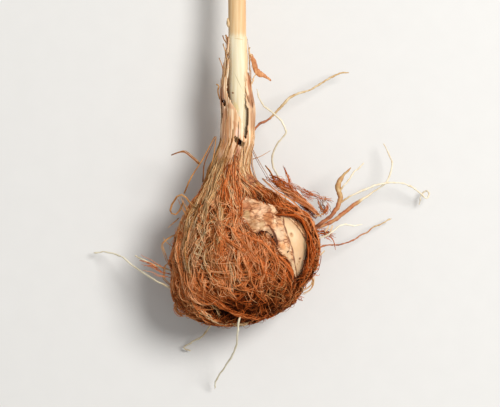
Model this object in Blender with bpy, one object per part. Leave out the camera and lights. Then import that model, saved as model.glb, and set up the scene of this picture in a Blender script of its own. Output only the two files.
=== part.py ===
"""Barbary nut: a corm in its netted fibre coat, with the cut base of its stem and its roots.

It lies on its side, as dug up and laid down: +Z up, +Y along the stem away from the corm, and +X to the
right as seen from above. The origin is the middle of the flat spot that the coat rests on.
Turns are angles about the corm's own axis: 0 is the +X side, 90 degrees the top, 270 the underside.
"""

import math
import random

import bmesh
import bpy
from mathutils import Vector

MM = 0.001

# The fibre coat and its neck in one turned outline, from the base to the torn top, as (Y, radius)
COAT_OUTLINE_MM = (
    (-11.0, 0.0), (-10.7, 3.2), (-9.4, 6.5), (-7.2, 9.0), (-4.0, 10.8), (-0.5, 11.5), (3.0, 11.1), (5.9, 9.7),
    (8.2, 7.8), (9.8, 6.1), (11.2, 4.4), (12.8, 3.35), (15.0, 2.9), (18.0, 2.75), (21.5, 2.7), (25.0, 2.65),
    (28.6, 2.55),
)  # fmt: skip
CORM_OUTLINE_MM = (
    (-9.1, 0.0), (-8.9, 2.6), (-7.9, 5.2), (-6.2, 7.3), (-3.6, 9.0), (-0.5, 9.7), (2.7, 9.3), (5.2, 8.0),
    (7.0, 6.1), (8.3, 3.9), (9.1, 2.0), (9.4, 0.0),
)  # fmt: skip
# The corm's axis is bent. These are its sideways places, as (height along Y, X)
AXIS_MM = (
    (-11.0, -2.6), (-7.0, -1.5), (-2.0, -0.5), (2.0, 0.1), (6.0, 0.0), (9.0, -0.9), (11.5, -2.1),
    (13.2, -2.5), (15.0, -2.0), (18.0, -1.2), (22.0, -1.1), (26.0, -1.4), (32.0, -1.2), (48.0, -1.3),
)  # fmt: skip
DEPTH = 0.88  # the corm is a little flatter from front to back than it is wide
REST_FLAT = 0.6 * MM  # how much of the round underside the resting flat takes away
CENTRE_Z = DEPTH * 11.5 * MM - REST_FLAT
STEM_DROOP = 0.00065 / MM  # the stem sags by this times the square of its length past the crown

PAPER_WALL = 0.5 * MM
GAP = 0.3 * MM  # between two pieces that lie on each other
SLIVER = 0.004 * MM  # edges shorter than this are collapsed after a cut
RINGS, TURNS = 13, 24  # of the smooth inner layers
COAT_RINGS, COAT_TURNS = 20, 56  # of the coat, where every other line of the net's grain is a ridge
RIDGE = 0.50 * MM  # from hollow to ridge where the coat is widest

# The stem, with the clasping sheath that ends in a rim part way up
STEM_END_Y = 46.5 * MM
RIM_Y = 33.8 * MM
STEM_RADIUS = 1.39 * MM
SHEATH_RADIUS = 1.52 * MM
CROWN_Y = 11.2 * MM
STEM_BORE = (SHEATH_RADIUS + GAP) / math.cos(math.pi / 12)

# The fibres that stand out of the coat, drawn thicker than life so that each is a sound solid
FIBRES = 60
NECK_FIBRES = 15
FIBRE_RADIUS = 0.27 * MM
FIBRE_STEP = 2.3 * MM
FIBRE_STEPS = (5, 8)
FIBRE_PROUD = 0.46 * MM
FIBRE_SUNK = 0.40 * MM
BARE_UNDERSIDE = 5.2 * MM  # no fibre comes nearer than this to the middle of the resting flat

# The torn window in the coat and the smaller one in the papery layer, as seen from above
COAT_WINDOW_MM = (
    (-0.2, 7.6), (2.6, 8.1), (6.0, 7.3), (8.5, 5.3), (9.8, 2.2), (9.8, -1.0), (9.0, -3.6), (8.2, -5.2),
    (7.0, -2.8), (5.4, 0.4), (3.6, 3.4), (1.0, 5.0),
)  # fmt: skip
PAPER_WINDOW_MM = (
    (5.8, 5.9), (7.2, 5.6), (8.5, 4.2), (9.2, 1.9), (9.2, -0.8), (8.6, -2.9), (8.1, -4.1), (7.4, -2.4),
    (6.8, 0.4), (6.1, 3.2),
)  # fmt: skip
SLIT_MM = (
    (-2.7, 30.0), (-2.7, 26.5), (-2.5, 24.4), (-1.9, 22.2), (-1.3, 19.6), (-0.9, 17.3), (-0.1, 17.5),
    (0.5, 20.0), (0.7, 22.4), (0.5, 25.0), (0.4, 30.0),
)  # fmt: skip

# Routes as (X, Y, height above the ground, thickness), from where each leaves the coat to its tip
ROOT_ROUTES_MM = {
    "root_left": (
        (-11.3, -5.4, 10.2, 0.42), (-13.0, -4.6, 10.4, 0.40), (-14.8, -3.6, 9.2, 0.38), (-17.2, -2.2, 7.0, 0.36),
        (-19.2, -0.6, 5.0, 0.34), (-20.7, 0.0, 3.6, 0.32), (-22.6, 0.3, 2.4, 0.30), (-23.9, 0.0, 1.7, 0.26),
    ),
    "root_left_short": (
        (-11.6, -2.6, 8.2, 0.36), (-13.4, -2.0, 7.8, 0.34), (-15.9, -1.0, 6.6, 0.32), (-17.3, -0.3, 5.6, 0.26),
    ),
    "root_base": (
        (-0.7, -9.0, 14.9, 0.40), (-0.9, -10.2, 15.6, 0.40), (-1.1, -12.2, 14.2, 0.38), (-1.4, -14.2, 11.0, 0.36),
        (-2.3, -16.5, 7.6, 0.36), (-3.6, -18.6, 4.8, 0.34), (-4.7, -20.1, 2.8, 0.32), (-4.8, -21.5, 1.4, 0.26),
    ),
    "root_base_left": (
        (-4.9, -9.9, 5.9, 0.42), (-5.5, -11.4, 4.7, 0.40), (-6.6, -12.9, 3.2, 0.36), (-8.6, -14.2, 1.8, 0.34),
        (-9.7, -14.9, 1.2, 0.32), (-8.7, -15.5, 0.8, 0.26),
    ),
    "root_right_short": (
        (11.4, 2.4, 8.6, 0.36), (12.6, 2.8, 8.6, 0.36), (13.7, 3.5, 8.4, 0.34), (14.8, 4.4, 8.0, 0.34),
        (15.8, 4.6, 7.4, 0.32), (17.1, 4.4, 6.6, 0.30), (18.4, 4.6, 5.9, 0.26),
    ),
    "root_right_low": (
        (11.3, 0.9, 6.8, 0.34), (12.9, 1.3, 6.2, 0.32), (14.7, 1.4, 5.4, 0.30), (17.3, 2.3, 4.2, 0.28),
        (19.1, 3.2, 3.4, 0.28), (20.5, 4.3, 2.8, 0.28), (21.9, 4.9, 2.2, 0.26), (23.2, 5.4, 1.7, 0.24),
    ),
    "root_neck_pale": (
        (5.6, 7.0, 4.4, 0.40), (6.4, 8.2, 3.4, 0.40), (6.3, 10.0, 3.9, 0.38), (5.4, 11.9, 5.2, 0.36),
        (4.4, 13.6, 6.4, 0.36), (4.2, 15.3, 7.4, 0.36), (5.1, 17.3, 8.6, 0.36), (6.5, 19.0, 9.2, 0.36),
        (5.8, 20.8, 9.3, 0.36), (4.4, 22.0, 9.3, 0.34), (2.9, 23.0, 9.1, 0.34), (2.1, 24.4, 9.0, 0.32),
        (1.9, 25.8, 9.0, 0.26),
    ),
    "root_neck_brown": (
        (1.1, 19.0, 7.9, 0.46), (2.2, 20.4, 7.0, 0.46), (3.5, 21.0, 6.6, 0.44), (4.7, 21.9, 6.6, 0.44),
        (5.8, 23.1, 6.8, 0.56), (6.9, 24.4, 7.0, 0.48), (8.3, 25.2, 6.8, 0.40), (10.3, 25.8, 6.2, 0.38),
        (11.9, 26.6, 5.6, 0.36), (13.5, 27.7, 4.8, 0.34), (14.9, 28.4, 4.0, 0.32), (16.3, 28.6, 3.4, 0.26),
    ),
}  # fmt: skip
# The right-hand cluster grows together. The first route carries the next two, and the last meets it at its foot
CLUSTER_ROUTES_MM = (
    ((10.8, 3.9, 9.2, 0.66), (12.0, 4.9, 9.4, 0.70), (13.3, 5.8, 9.4, 0.72), (14.4, 7.2, 9.2, 0.80),
     (14.9, 8.8, 9.0, 0.96), (14.5, 10.3, 8.8, 1.06), (14.7, 11.3, 8.6, 0.92), (15.4, 12.3, 8.4, 0.60),
     (16.6, 13.5, 8.0, 0.28)),
    ((14.7, 9.7, 8.8, 0.40), (15.8, 11.1, 9.0, 0.34), (17.2, 12.9, 8.2, 0.32), (18.6, 14.2, 7.2, 0.26)),
    ((14.6, 7.8, 9.1, 0.40), (16.4, 9.0, 9.2, 0.36), (18.3, 10.0, 8.8, 0.36), (20.2, 10.8, 8.2, 0.36),
     (22.6, 11.2, 7.2, 0.34), (25.0, 10.9, 5.6, 0.34), (27.3, 10.0, 4.2, 0.32), (28.7, 9.0, 3.2, 0.32),
     (29.2, 9.6, 2.6, 0.30), (28.5, 9.9, 2.0, 0.30), (27.8, 9.0, 1.6, 0.28), (27.5, 7.7, 1.2, 0.24)),
    ((10.8, 3.9, 9.1, 0.64), (12.6, 4.6, 8.4, 0.64), (14.0, 5.3, 8.0, 0.76), (15.0, 6.1, 7.8, 0.82),
     (16.6, 7.3, 7.4, 0.74), (18.1, 8.3, 6.9, 0.60), (19.1, 9.0, 6.6, 0.34), (20.7, 10.1, 6.0, 0.32),
     (22.1, 11.1, 5.6, 0.32), (23.0, 12.8, 5.0, 0.32), (23.2, 14.7, 4.4, 0.30), (21.8, 17.3, 3.4, 0.26)),
)  # fmt: skip
# Fibres that have sprung loose from the coat, each with both ends or its first end still in it
LOOSE_ROUTES_MM = (
    ((-8.3, 4.6, 14.2, 0.5), (-9.8, 7.2, 13.4, 0.5), (-9.0, 11.2, 12.8, 0.5), (-7.4, 14.0, 12.4, 0.5),
     (-8.8, 15.6, 12.2, 0.5), (-10.9, 15.3, 12.0, 0.4)),
    ((-9.2, 5.2, 12.0, 0.5), (-9.9, 8.8, 11.4, 0.5), (-8.4, 11.9, 11.2, 0.5), (-6.8, 14.6, 11.2, 0.5),
     (-5.3, 17.6, 11.2, 0.4)),
    ((-9.8, 4.2, 11.0, 0.5), (-11.2, 5.4, 11.2, 0.5), (-11.5, 7.4, 11.2, 0.5), (-10.6, 8.6, 11.6, 0.5),
     (-9.4, 7.4, 12.4, 0.5), (-8.4, 5.6, 13.4, 0.5)),
    ((-11.2, -3.2, 10.4, 0.6), (-13.0, -2.8, 11.2, 0.7), (-14.6, -1.9, 11.0, 0.9), (-16.3, -1.7, 10.4, 0.4)),
    ((-10.9, 1.8, 9.6, 0.5), (-12.6, 2.4, 9.8, 0.5), (-13.2, 1.0, 9.8, 0.5), (-12.4, -0.6, 9.8, 0.5),
     (-11.2, -1.2, 9.8, 0.5)),
    ((8.9, 6.2, 7.6, 0.7), (9.4, 8.4, 7.6, 0.9), (7.7, 10.6, 7.8, 1.0), (5.8, 12.0, 8.2, 0.8), (4.4, 12.8, 8.6, 0.4)),
    ((8.2, 10.2, 7.7, 0.6), (7.2, 11.9, 7.8, 0.6), (6.5, 13.6, 7.8, 0.4)),
    ((9.6, 5.6, 8.8, 0.6), (10.2, 7.4, 8.8, 0.7), (9.6, 9.0, 8.4, 0.8), (11.2, 9.1, 8.0, 0.6), (13.0, 8.7, 7.6, 0.4)),
    ((10.6, 2.6, 7.4, 0.6), (12.3, 3.1, 7.2, 0.8), (13.6, 2.7, 7.0, 0.5)),
)  # fmt: skip
# A scrap of dry sheath that hangs from the neck by a thread
FLAKE_ROUTE_MM = (
    (0.5, 25.6, 9.6, 0.5), (1.3, 26.9, 9.8, 0.3), (2.0, 28.1, 9.9, 0.5), (1.9, 29.8, 10.0, 0.8), (1.4, 31.2, 10.0, 0.5),
)  # fmt: skip
FLAKE_TAIL_MM = ((1.7, 29.2, 9.9, 0.7), (2.2, 28.2, 9.9, 1.0), (3.2, 27.5, 9.8, 0.8), (4.2, 26.9, 9.6, 0.4))

RUST = (0.42, 0.155, 0.055)
CREAM = (0.80, 0.58, 0.33)
PAPER_PINK = (0.72, 0.40, 0.24)
STEM_CREAM = (0.84, 0.68, 0.42)
ROOT_PALE = (0.76, 0.67, 0.50)
ROOT_BROWN = (0.50, 0.27, 0.12)


def clear_scene():
    for obj in list(bpy.data.objects):
        bpy.data.objects.remove(obj)


def material(name, colour, roughness):
    made = bpy.data.materials.new(name)
    made.use_nodes = True
    shader = made.node_tree.nodes["Principled BSDF"]
    shader.inputs["Base Color"].default_value = (*colour, 1)
    shader.inputs["Roughness"].default_value = roughness
    shader.inputs["Metallic"].default_value = 0.0
    return made


def smooth_between(points, share):
    """The point at share (0 to 1) of a smooth line through the points, each a tuple of any size."""
    last = len(points) - 1
    place = min(max(share, 0.0), 1.0) * last
    i = min(int(place), last - 1)
    f = place - i
    before, a, b, after = (points[min(max(k, 0), last)] for k in (i - 1, i, i + 1, i + 2))
    return [
        0.5 * (2 * q + (r - p) * f + (2 * p - 5 * q + 4 * r - s) * f * f + (3 * q - p - 3 * r + s) * f**3)
        for p, q, r, s in zip(before, a, b, after)
    ]


def axis_at(y):
    """The bent axis of corm and stem at height y along Y: its X and its Z."""
    height = y / MM
    x = AXIS_MM[0][1]
    for (y0, x0), (y1, x1) in zip(AXIS_MM, AXIS_MM[1:]):
        if height >= y0:
            f = min((height - y0) / (y1 - y0), 1.0)
            x = x0 + (x1 - x0) * (3 * f * f - 2 * f**3)
    droop = STEM_DROOP * max(y - CROWN_Y, 0.0) ** 2
    return x * MM, CENTRE_Z - droop


def outline_at(outline_mm, share, inset=0.0):
    """(height, radius) at that share of a turned outline, moved in from it by inset."""
    y, r = smooth_between(outline_mm, share)
    y0, r0 = smooth_between(outline_mm, share - 0.01)
    y1, r1 = smooth_between(outline_mm, share + 0.01)
    along = Vector((y1 - y0, r1 - r0)).normalized()
    return y * MM + along.y * inset, max(r * MM - along.x * inset, 0.0)


def depth_at(y):
    """How deep the body is for its width: DEPTH down in the corm, and round in the neck."""
    f = min(max((y - CROWN_Y) / (4 * MM), 0.0), 1.0)
    return DEPTH + (1 - DEPTH) * f


def share_at(outline_mm, y):
    """The share of a turned outline that lies at height y."""
    low, high = 0.0, 1.0
    for _ in range(20):
        middle = (low + high) / 2
        low, high = (middle, high) if outline_at(outline_mm, middle)[0] < y else (low, middle)
    return low


def on_body(y, radius, turn):
    x, z = axis_at(y)
    return Vector((x + radius * math.cos(turn), y, z + depth_at(y) * radius * math.sin(turn)))


def coat_point(turn, share, lift):
    """A point at that height above the coat's skin."""
    y, radius = outline_at(COAT_OUTLINE_MM, share, -lift)
    return on_body(y, radius, turn)


def new_object(name, mesh, collection):
    obj = bpy.data.objects.new(name, mesh)
    collection.objects.link(obj)
    return obj


def finish_bmesh(bm, name):
    bmesh.ops.remove_doubles(bm, verts=bm.verts, dist=0.002 * MM)
    bmesh.ops.recalc_face_normals(bm, faces=bm.faces)
    mesh = bpy.data.meshes.new(name)
    bm.to_mesh(mesh)
    bm.free()
    return mesh


def turned(name, places, turns, collection):
    """A closed solid from (height, radius) places spun about Y, then bent to the body's axis."""
    bm = bmesh.new()
    ring = [bm.verts.new((radius, y, 0)) for y, radius in places]
    line = [bm.edges.new(pair) for pair in zip(ring, ring[1:])]
    bmesh.ops.spin(
        bm, geom=ring + line, cent=(0, 0, 0), axis=(0, 1, 0), dvec=(0, 0, 0),
        angle=math.tau, steps=turns, use_merge=True,
    )  # fmt: skip
    bmesh.ops.remove_doubles(bm, verts=bm.verts, dist=0.002 * MM)
    bmesh.ops.holes_fill(bm, edges=[e for e in bm.edges if e.is_boundary], sides=0)
    for vert in bm.verts:
        x, z = axis_at(vert.co.y)
        vert.co.x += x
        vert.co.z = z + vert.co.z * depth_at(vert.co.y)
    return new_object(name, finish_bmesh(bm, name), collection)


def layer(name, lift, collection):
    """A closed solid of the corm's shape, raised all over by lift."""
    places = [outline_at(CORM_OUTLINE_MM, k / RINGS, -lift) for k in range(RINGS + 1)]
    places[0] = (places[0][0], 0.0)
    places[-1] = (places[-1][0], 0.0)
    return turned(name, places, TURNS, collection)


def grain_slant(y):
    """How far the net's grain leans from the length of the body: none at the neck, most at the base."""
    down = min(max((9 * MM - y) / (20 * MM), 0.0), 1.0)
    return math.radians(62) * down**0.8


def ridged_coat(rng, collection):
    """The coat's body: turned, then raised into ridges that follow the grain, with a torn upper edge."""
    places = [outline_at(COAT_OUTLINE_MM, k / COAT_RINGS) for k in range(COAT_RINGS + 1)]
    lean = [0.0] * (COAT_RINGS + 1)
    for k in range(COAT_RINGS - 1, 0, -1):
        (y, radius), (above, _) = places[k], places[k + 1]
        lean[k] = lean[k + 1] - math.tan(grain_slant(y)) * (above - y) / radius
    lean[0] = lean[1]
    swell = [[rng.uniform(0.3, 1.0) for _ in range(COAT_TURNS)] for _ in places]
    torn = [rng.uniform(-1.6, 1.0) * MM for _ in range(COAT_TURNS)]
    bm = bmesh.new()
    ring = [bm.verts.new((radius, y, 0)) for y, radius in places]
    line = [bm.edges.new(pair) for pair in zip(ring, ring[1:])]
    bmesh.ops.spin(
        bm, geom=ring + line, cent=(0, 0, 0), axis=(0, 1, 0), dvec=(0, 0, 0),
        angle=math.tau, steps=COAT_TURNS, use_merge=True,
    )  # fmt: skip
    bmesh.ops.remove_doubles(bm, verts=bm.verts, dist=0.002 * MM)
    for vert in bm.verts:
        y, radius = vert.co.y, math.hypot(vert.co.x, vert.co.z)
        k = min(range(len(places)), key=lambda n: abs(places[n][0] - y))
        turn = math.atan2(vert.co.z, vert.co.x)
        column = round(turn / math.tau * COAT_TURNS) % COAT_TURNS
        rise = RIDGE * swell[k][column] * min(radius / (9 * MM), 1.0) * (0.5 if column % 2 else -0.5)
        if k == COAT_RINGS:
            y += torn[column]
        vert.co = on_body(y, radius + rise if k else 0.0, turn + lean[k])
    bmesh.ops.holes_fill(bm, edges=[e for e in bm.edges if e.is_boundary], sides=0)
    bmesh.ops.triangulate(bm, faces=bm.faces)
    return new_object("fibre_coat", finish_bmesh(bm, "fibre_coat"), collection)


def tube(name, points, radii, sides, collection):
    """A rod of that many sides along the points, closed at both ends."""
    profile = section(sides, collection)
    curve = bpy.data.curves.new(name, "CURVE")
    curve.dimensions = "3D"
    curve.use_fill_caps = True
    curve.bevel_mode = "OBJECT"
    curve.bevel_object = profile
    spline = curve.splines.new("POLY")
    spline.points.add(len(points) - 1)
    for place, point, radius in zip(spline.points, points, radii):
        place.co = (*point, 1)
        place.radius = radius / MM
    guide = new_object(name + "_line", curve, collection)
    graph = bpy.context.evaluated_depsgraph_get()
    bm = bmesh.new()
    bm.from_mesh(bpy.data.meshes.new_from_object(guide.evaluated_get(graph)))
    bpy.data.objects.remove(guide)
    bpy.data.objects.remove(profile)
    return new_object(name, finish_bmesh(bm, name), collection)


def section(sides, collection):
    """A rod's cross-section, one millimetre in radius."""
    curve = bpy.data.curves.new("section", "CURVE")
    curve.dimensions = "2D"
    spline = curve.splines.new("POLY")
    spline.points.add(sides - 1)
    spline.use_cyclic_u = True
    for k, place in enumerate(spline.points):
        turn = math.tau * k / sides
        place.co = (MM * math.cos(turn), MM * math.sin(turn), 0, 1)
    return new_object("section", curve, collection)


def routed(name, route_mm, sides, pieces, collection):
    """A tube along a smooth line through a route's (X, Y, height, thickness)."""
    places = [smooth_between(route_mm, k / pieces) for k in range(pieces + 1)]
    points = [Vector(place[:3]) * MM for place in places]
    radii = [place[3] * MM / 2 for place in places]
    return tube(name, points, radii, sides, collection)


def slab(name, outline_mm, low, high, collection):
    """A cutter: a smooth closed outline seen from above, standing from low to high."""
    curve = bpy.data.curves.new(name, "CURVE")
    curve.dimensions = "2D"
    curve.fill_mode = "BOTH"
    curve.extrude = (high - low) / 2
    curve.resolution_u = 2
    spline = curve.splines.new("BEZIER")
    spline.bezier_points.add(len(outline_mm) - 1)
    spline.use_cyclic_u = True
    for place, (x, y) in zip(spline.bezier_points, outline_mm):
        place.co = (x * MM, y * MM, 0)
        place.handle_left_type = place.handle_right_type = "AUTO"
    guide = new_object(name + "_line", curve, collection)
    guide.location.z = (high + low) / 2
    bpy.context.view_layer.update()
    graph = bpy.context.evaluated_depsgraph_get()
    bm = bmesh.new()
    bm.from_mesh(bpy.data.meshes.new_from_object(guide.evaluated_get(graph)))
    bmesh.ops.transform(bm, matrix=guide.matrix_world, verts=bm.verts)
    bpy.data.objects.remove(guide)
    return new_object(name, finish_bmesh(bm, name), collection)


def ground_block(collection):
    """A cutter for everything below the surface that the part rests on."""
    half = 40 * MM
    bpy.ops.mesh.primitive_cube_add(size=2 * half, location=(0, 0, -half))
    block = bpy.context.object
    block.name = "ground"
    for held in list(block.users_collection):
        held.objects.unlink(block)
    collection.objects.link(block)
    return block


def combine(obj, tools, operation):
    """Joins the collection's objects to obj, or cuts them from it, then removes them."""
    modifier = obj.modifiers.new(operation.lower(), "BOOLEAN")
    modifier.operation = operation
    modifier.solver = "MANIFOLD"
    modifier.operand_type = "COLLECTION"
    modifier.collection = tools
    graph = bpy.context.evaluated_depsgraph_get()
    mesh = bpy.data.meshes.new_from_object(obj.evaluated_get(graph))
    obj.modifiers.clear()
    obj.data = mesh
    for tool in list(tools.objects):
        bpy.data.objects.remove(tool)
    return obj


def clean(obj):
    """Collapses the slivers that the cuts left, and keeps only the largest body."""
    bm = bmesh.new()
    bm.from_mesh(obj.data)
    bmesh.ops.triangulate(bm, faces=bm.faces)
    bmesh.ops.dissolve_degenerate(bm, dist=SLIVER, edges=bm.edges)
    bmesh.ops.triangulate(bm, faces=bm.faces)
    flaps = [f for f in bm.faces if any(e.is_boundary for e in f.edges)]
    bmesh.ops.delete(bm, geom=flaps, context="FACES")
    left, bodies = set(bm.verts), []
    while left:
        reach = [left.pop()]
        body = set(reach)
        while reach:
            for edge in reach.pop().link_edges:
                for vert in edge.verts:
                    if vert not in body:
                        body.add(vert)
                        reach.append(vert)
        left -= body
        bodies.append(body)
    largest = max(bodies, key=len)
    bmesh.ops.delete(bm, geom=[v for v in bm.verts if v not in largest], context="VERTS")
    bm.to_mesh(obj.data)
    bm.free()


def finish(obj, look):
    obj.data.materials.clear()
    obj.data.materials.append(look)
    obj.data.shade_smooth()
    obj.data.set_sharp_from_angle(angle=math.radians(40))
    return obj


def inside(outline_mm, x, y):
    """Whether the outline, seen from above, holds the point."""
    held = False
    for (x0, y0), (x1, y1) in zip(outline_mm, outline_mm[1:] + outline_mm[:1]):
        if (y0 > y) != (y1 > y) and x < x0 + (y - y0) * (x1 - x0) / (y1 - y0):
            held = not held
    return held


def grown(outline_mm, factor):
    """The outline made larger about its middle."""
    middle = [sum(c) / len(outline_mm) for c in zip(*outline_mm)]
    return tuple(tuple(m + (c - m) * factor for c, m in zip(place, middle)) for place in outline_mm)


def coat_fibre(rng, turn, share):
    """One fibre of the coat, as points: it leaves the skin, follows the grain or crosses it, and sinks back."""
    window = grown(COAT_WINDOW_MM, 1.16)
    crossing = rng.random() < 0.35
    wander = rng.uniform(-0.25, 0.25)
    course = []
    for _ in range(rng.randint(*FIBRE_STEPS) + 1):
        y, radius = outline_at(COAT_OUTLINE_MM, share)
        skin = on_body(y, radius, turn)
        if radius < 1.2 * MM or (skin.z > CENTRE_Z and inside(window, skin.x / MM, skin.y / MM)):
            break
        if skin.z < CENTRE_Z and math.hypot(skin.x, skin.y) < BARE_UNDERSIDE:
            break
        course.append((turn, share))
        slant = grain_slant(y) * (-0.7 if crossing else 1.0) + wander
        y0, radius0 = outline_at(COAT_OUTLINE_MM, share - 0.01)
        share -= 0.01 * math.cos(slant) * FIBRE_STEP / math.hypot(y - y0, radius - radius0)
        turn -= math.sin(slant) * FIBRE_STEP / radius
        wander += rng.uniform(-0.12, 0.12)
    proud = FIBRE_PROUD * rng.uniform(0.85, 1.2)
    last = len(course) - 1
    return arched(course, [proud if 0 < k < last else -FIBRE_SUNK for k in range(last + 1)])


def neck_fibre(rng, turn):
    """One long fibre that runs from the neck down over the shoulder, and sinks in at both ends."""
    window = grown(COAT_WINDOW_MM, 1.16)
    low, high = rng.uniform(0.34, 0.50), rng.uniform(0.74, 0.93)
    twist = rng.uniform(-0.3, 0.3)
    course = []
    for k in range(10):
        share = high + (low - high) * k / 9
        y, radius = outline_at(COAT_OUTLINE_MM, share)
        skin = on_body(y, radius, turn)
        if skin.z > CENTRE_Z and inside(window, skin.x / MM, skin.y / MM):
            break
        course.append((turn, share))
        turn += twist / 9 - math.tan(grain_slant(y)) * 0.12
    proud = FIBRE_PROUD * rng.uniform(0.7, 1.0)
    last = len(course) - 1
    return arched(course, [proud if 0 < k < last else -FIBRE_SUNK for k in range(last + 1)])


def neck_bristle(rng, turn):
    """One free fibre that stands up past the neck's torn upper edge."""
    start, reach = rng.uniform(25.5, 27.0) * MM, rng.uniform(3.5, 7.0) * MM
    middle = COAT_OUTLINE_MM[-1][1] * MM - 0.3 * MM
    spread = rng.uniform(0.0, 0.5) * MM
    return [on_body(start + reach * k / 3, middle + spread * (k / 3) ** 2, turn) for k in range(4)]


def arched(course, lifts):
    return [coat_point(turn, share, lift) for (turn, share), lift in zip(course, lifts)]


def tapered(count, radius):
    last = count - 1
    return [radius * (0.45 + 0.55 * math.sin(math.pi * k / last) ** 0.5) for k in range(count)]


def build_coat(look, sockets, home, tools):
    """The outer coat and its neck, covered with fibres, with a torn window, a slit and bores."""
    rng = random.Random(11)
    coat = ridged_coat(rng, home)
    courses = []
    for k in range(FIBRES):
        share = share_at(COAT_OUTLINE_MM, (-8.0 + 18.0 * (k + rng.random()) / FIBRES) * MM)
        courses.append(coat_fibre(rng, 2.4 * k + rng.uniform(-0.2, 0.2), share))
    for k in range(NECK_FIBRES):
        courses.append(neck_fibre(rng, math.tau * (k + rng.uniform(-0.3, 0.3)) / NECK_FIBRES))
    for k, points in enumerate(points for points in courses if len(points) > 3):
        tube(f"fibre_{k}", points, tapered(len(points), FIBRE_RADIUS), 3, tools)
    for k in range(9):
        points = neck_bristle(rng, math.radians(140 + 260 * k / 8))
        tube(f"bristle_{k}", points, [FIBRE_RADIUS * (1.1 - 0.2 * step) for step in range(4)], 3, tools)
    for k, route in enumerate(LOOSE_ROUTES_MM):
        routed(f"loose_{k}", route, 3, 2 * (len(route) - 1), tools)
    routed("flake", FLAKE_ROUTE_MM, 4, 2 * (len(FLAKE_ROUTE_MM) - 1), tools)
    routed("flake_tail", FLAKE_TAIL_MM, 4, 4, tools)
    combine(coat, tools, "UNION")
    layer("hollow", PAPER_WALL + 2 * GAP, tools)
    combine(coat, tools, "DIFFERENCE")
    slab("window", COAT_WINDOW_MM, CENTRE_Z, CENTRE_Z + 15 * MM, tools)
    slab("slit", SLIT_MM, CENTRE_Z, CENTRE_Z + 15 * MM, tools)
    stem_bore(30 * MM, tools)
    ground_block(tools)
    combine(coat, tools, "DIFFERENCE")
    for k, route in enumerate(sockets):
        socket(f"socket_{k}", route, tools)
    combine(coat, tools, "DIFFERENCE")
    clean(coat)
    return finish(coat, look)


def stem_bore(top, tools):
    foot = 8 * MM
    points = [on_body(foot + (top - foot) * k / 10, 0, 0) for k in range(11)]
    return tube("bore", points, [STEM_BORE] * len(points), 12, tools)


def socket(name, route_mm, tools):
    """A cutter round a root's first stretch, longer than the wall and a gap wider than the root."""
    first, second = Vector(route_mm[0][:3]) * MM, Vector(route_mm[1][:3]) * MM
    inward = (first - second).normalized() * 1.6 * MM
    places = [smooth_between(route_mm, k / (4 * len(route_mm))) for k in range(9)]
    points = [first + inward] + [Vector(place[:3]) * MM for place in places]
    radii = [(place[3] * MM / 2 + GAP) / math.cos(math.pi / 6) for place in [route_mm[0], *places]]
    return tube(name, points, radii, 6, tools)


def build_paper(look, home, tools):
    """The papery layer under the coat, torn open over the corm."""
    paper = layer("papery_layer", GAP + PAPER_WALL, home)
    layer("hollow", GAP, tools)
    combine(paper, tools, "DIFFERENCE")
    slab("tear", PAPER_WINDOW_MM, CENTRE_Z, CENTRE_Z + 15 * MM, tools)
    stem_bore(14 * MM, tools)
    combine(paper, tools, "DIFFERENCE")
    clean(paper)
    return finish(paper, look)


def build_corm(look, home):
    return finish(layer("corm", 0.0, home), look)


def build_stem(look, home, tools):
    """The stem from the crown to its cut end, with its sheath's rim and one small side bud."""
    foot = CORM_OUTLINE_MM[-1][0] * MM + 2 * GAP
    below = [foot + (RIM_Y - foot) * k / 10 for k in range(11)]
    above = [RIM_Y + 0.25 * MM + (STEM_END_Y - RIM_Y - 0.25 * MM) * k / 5 for k in range(6)]
    points = [on_body(y, 0, 0) for y in below + above]
    radii = [SHEATH_RADIUS * (0.93 + 0.07 * min(k, 4) / 4) for k in range(11)] + [STEM_RADIUS] * 6
    stem = tube("stem", points, radii, 12, home)
    bud = on_body(RIM_Y + 2.1 * MM, STEM_RADIUS * 0.9, math.radians(165))
    bud_line = [bud + Vector((0.3, -0.9, 0)) * MM, bud, bud + Vector((-0.3, 0.9, 0)) * MM]
    tube("bud", bud_line, [0.25 * MM, 0.5 * MM, 0.15 * MM], 6, tools)
    combine(stem, tools, "UNION")
    return finish(stem, look)


def build_roots(looks, home, tools):
    for name, route in ROOT_ROUTES_MM.items():
        look = looks["brown"] if name in ("root_neck_brown", "root_right_low") else looks["pale"]
        finish(routed(name, route, 5, 2 * (len(route) - 1), home), look)
    first, *others = CLUSTER_ROUTES_MM
    cluster = routed("root_cluster", first, 5, 2 * (len(first) - 1), home)
    for k, route in enumerate(others):
        routed(f"branch_{k}", route, 5, 2 * (len(route) - 1), tools)
    combine(cluster, tools, "UNION")
    finish(cluster, looks["brown"])


def main():
    clear_scene()
    home = bpy.data.collections.new("barbary_nut")
    tools = bpy.data.collections.new("tools")
    bpy.context.scene.collection.children.link(home)
    bpy.context.scene.collection.children.link(tools)
    looks = {
        "pale": material("pale_root", ROOT_PALE, 0.6),
        "brown": material("brown_root", ROOT_BROWN, 0.7),
    }
    sockets = [*ROOT_ROUTES_MM.values(), CLUSTER_ROUTES_MM[0], CLUSTER_ROUTES_MM[3]]
    build_coat(material("rust_fibre", RUST, 0.8), sockets, home, tools)
    build_paper(material("papery_skin", PAPER_PINK, 0.6), home, tools)
    build_corm(material("corm_flesh", CREAM, 0.5), home)
    build_stem(material("stem_skin", STEM_CREAM, 0.5), home, tools)
    build_roots(looks, home, tools)
    bpy.data.collections.remove(tools)


main()
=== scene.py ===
"""Looks for a Barbary nut's corm: its coat of netted fibres, torn open over the papery skin and the corm,
with the base of its stem and its roots, as dug up and laid on its side.

Lengths are in metres. +Z is up, +Y runs along the stem away from the corm, and a turn is an angle about the
corm's own bent axis: 0 on the +X side, a quarter turn on top. The solids' own measures are repeated here, so
that each fine piece keeps the form of the solid that it stands for.
"""

import math

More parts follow.
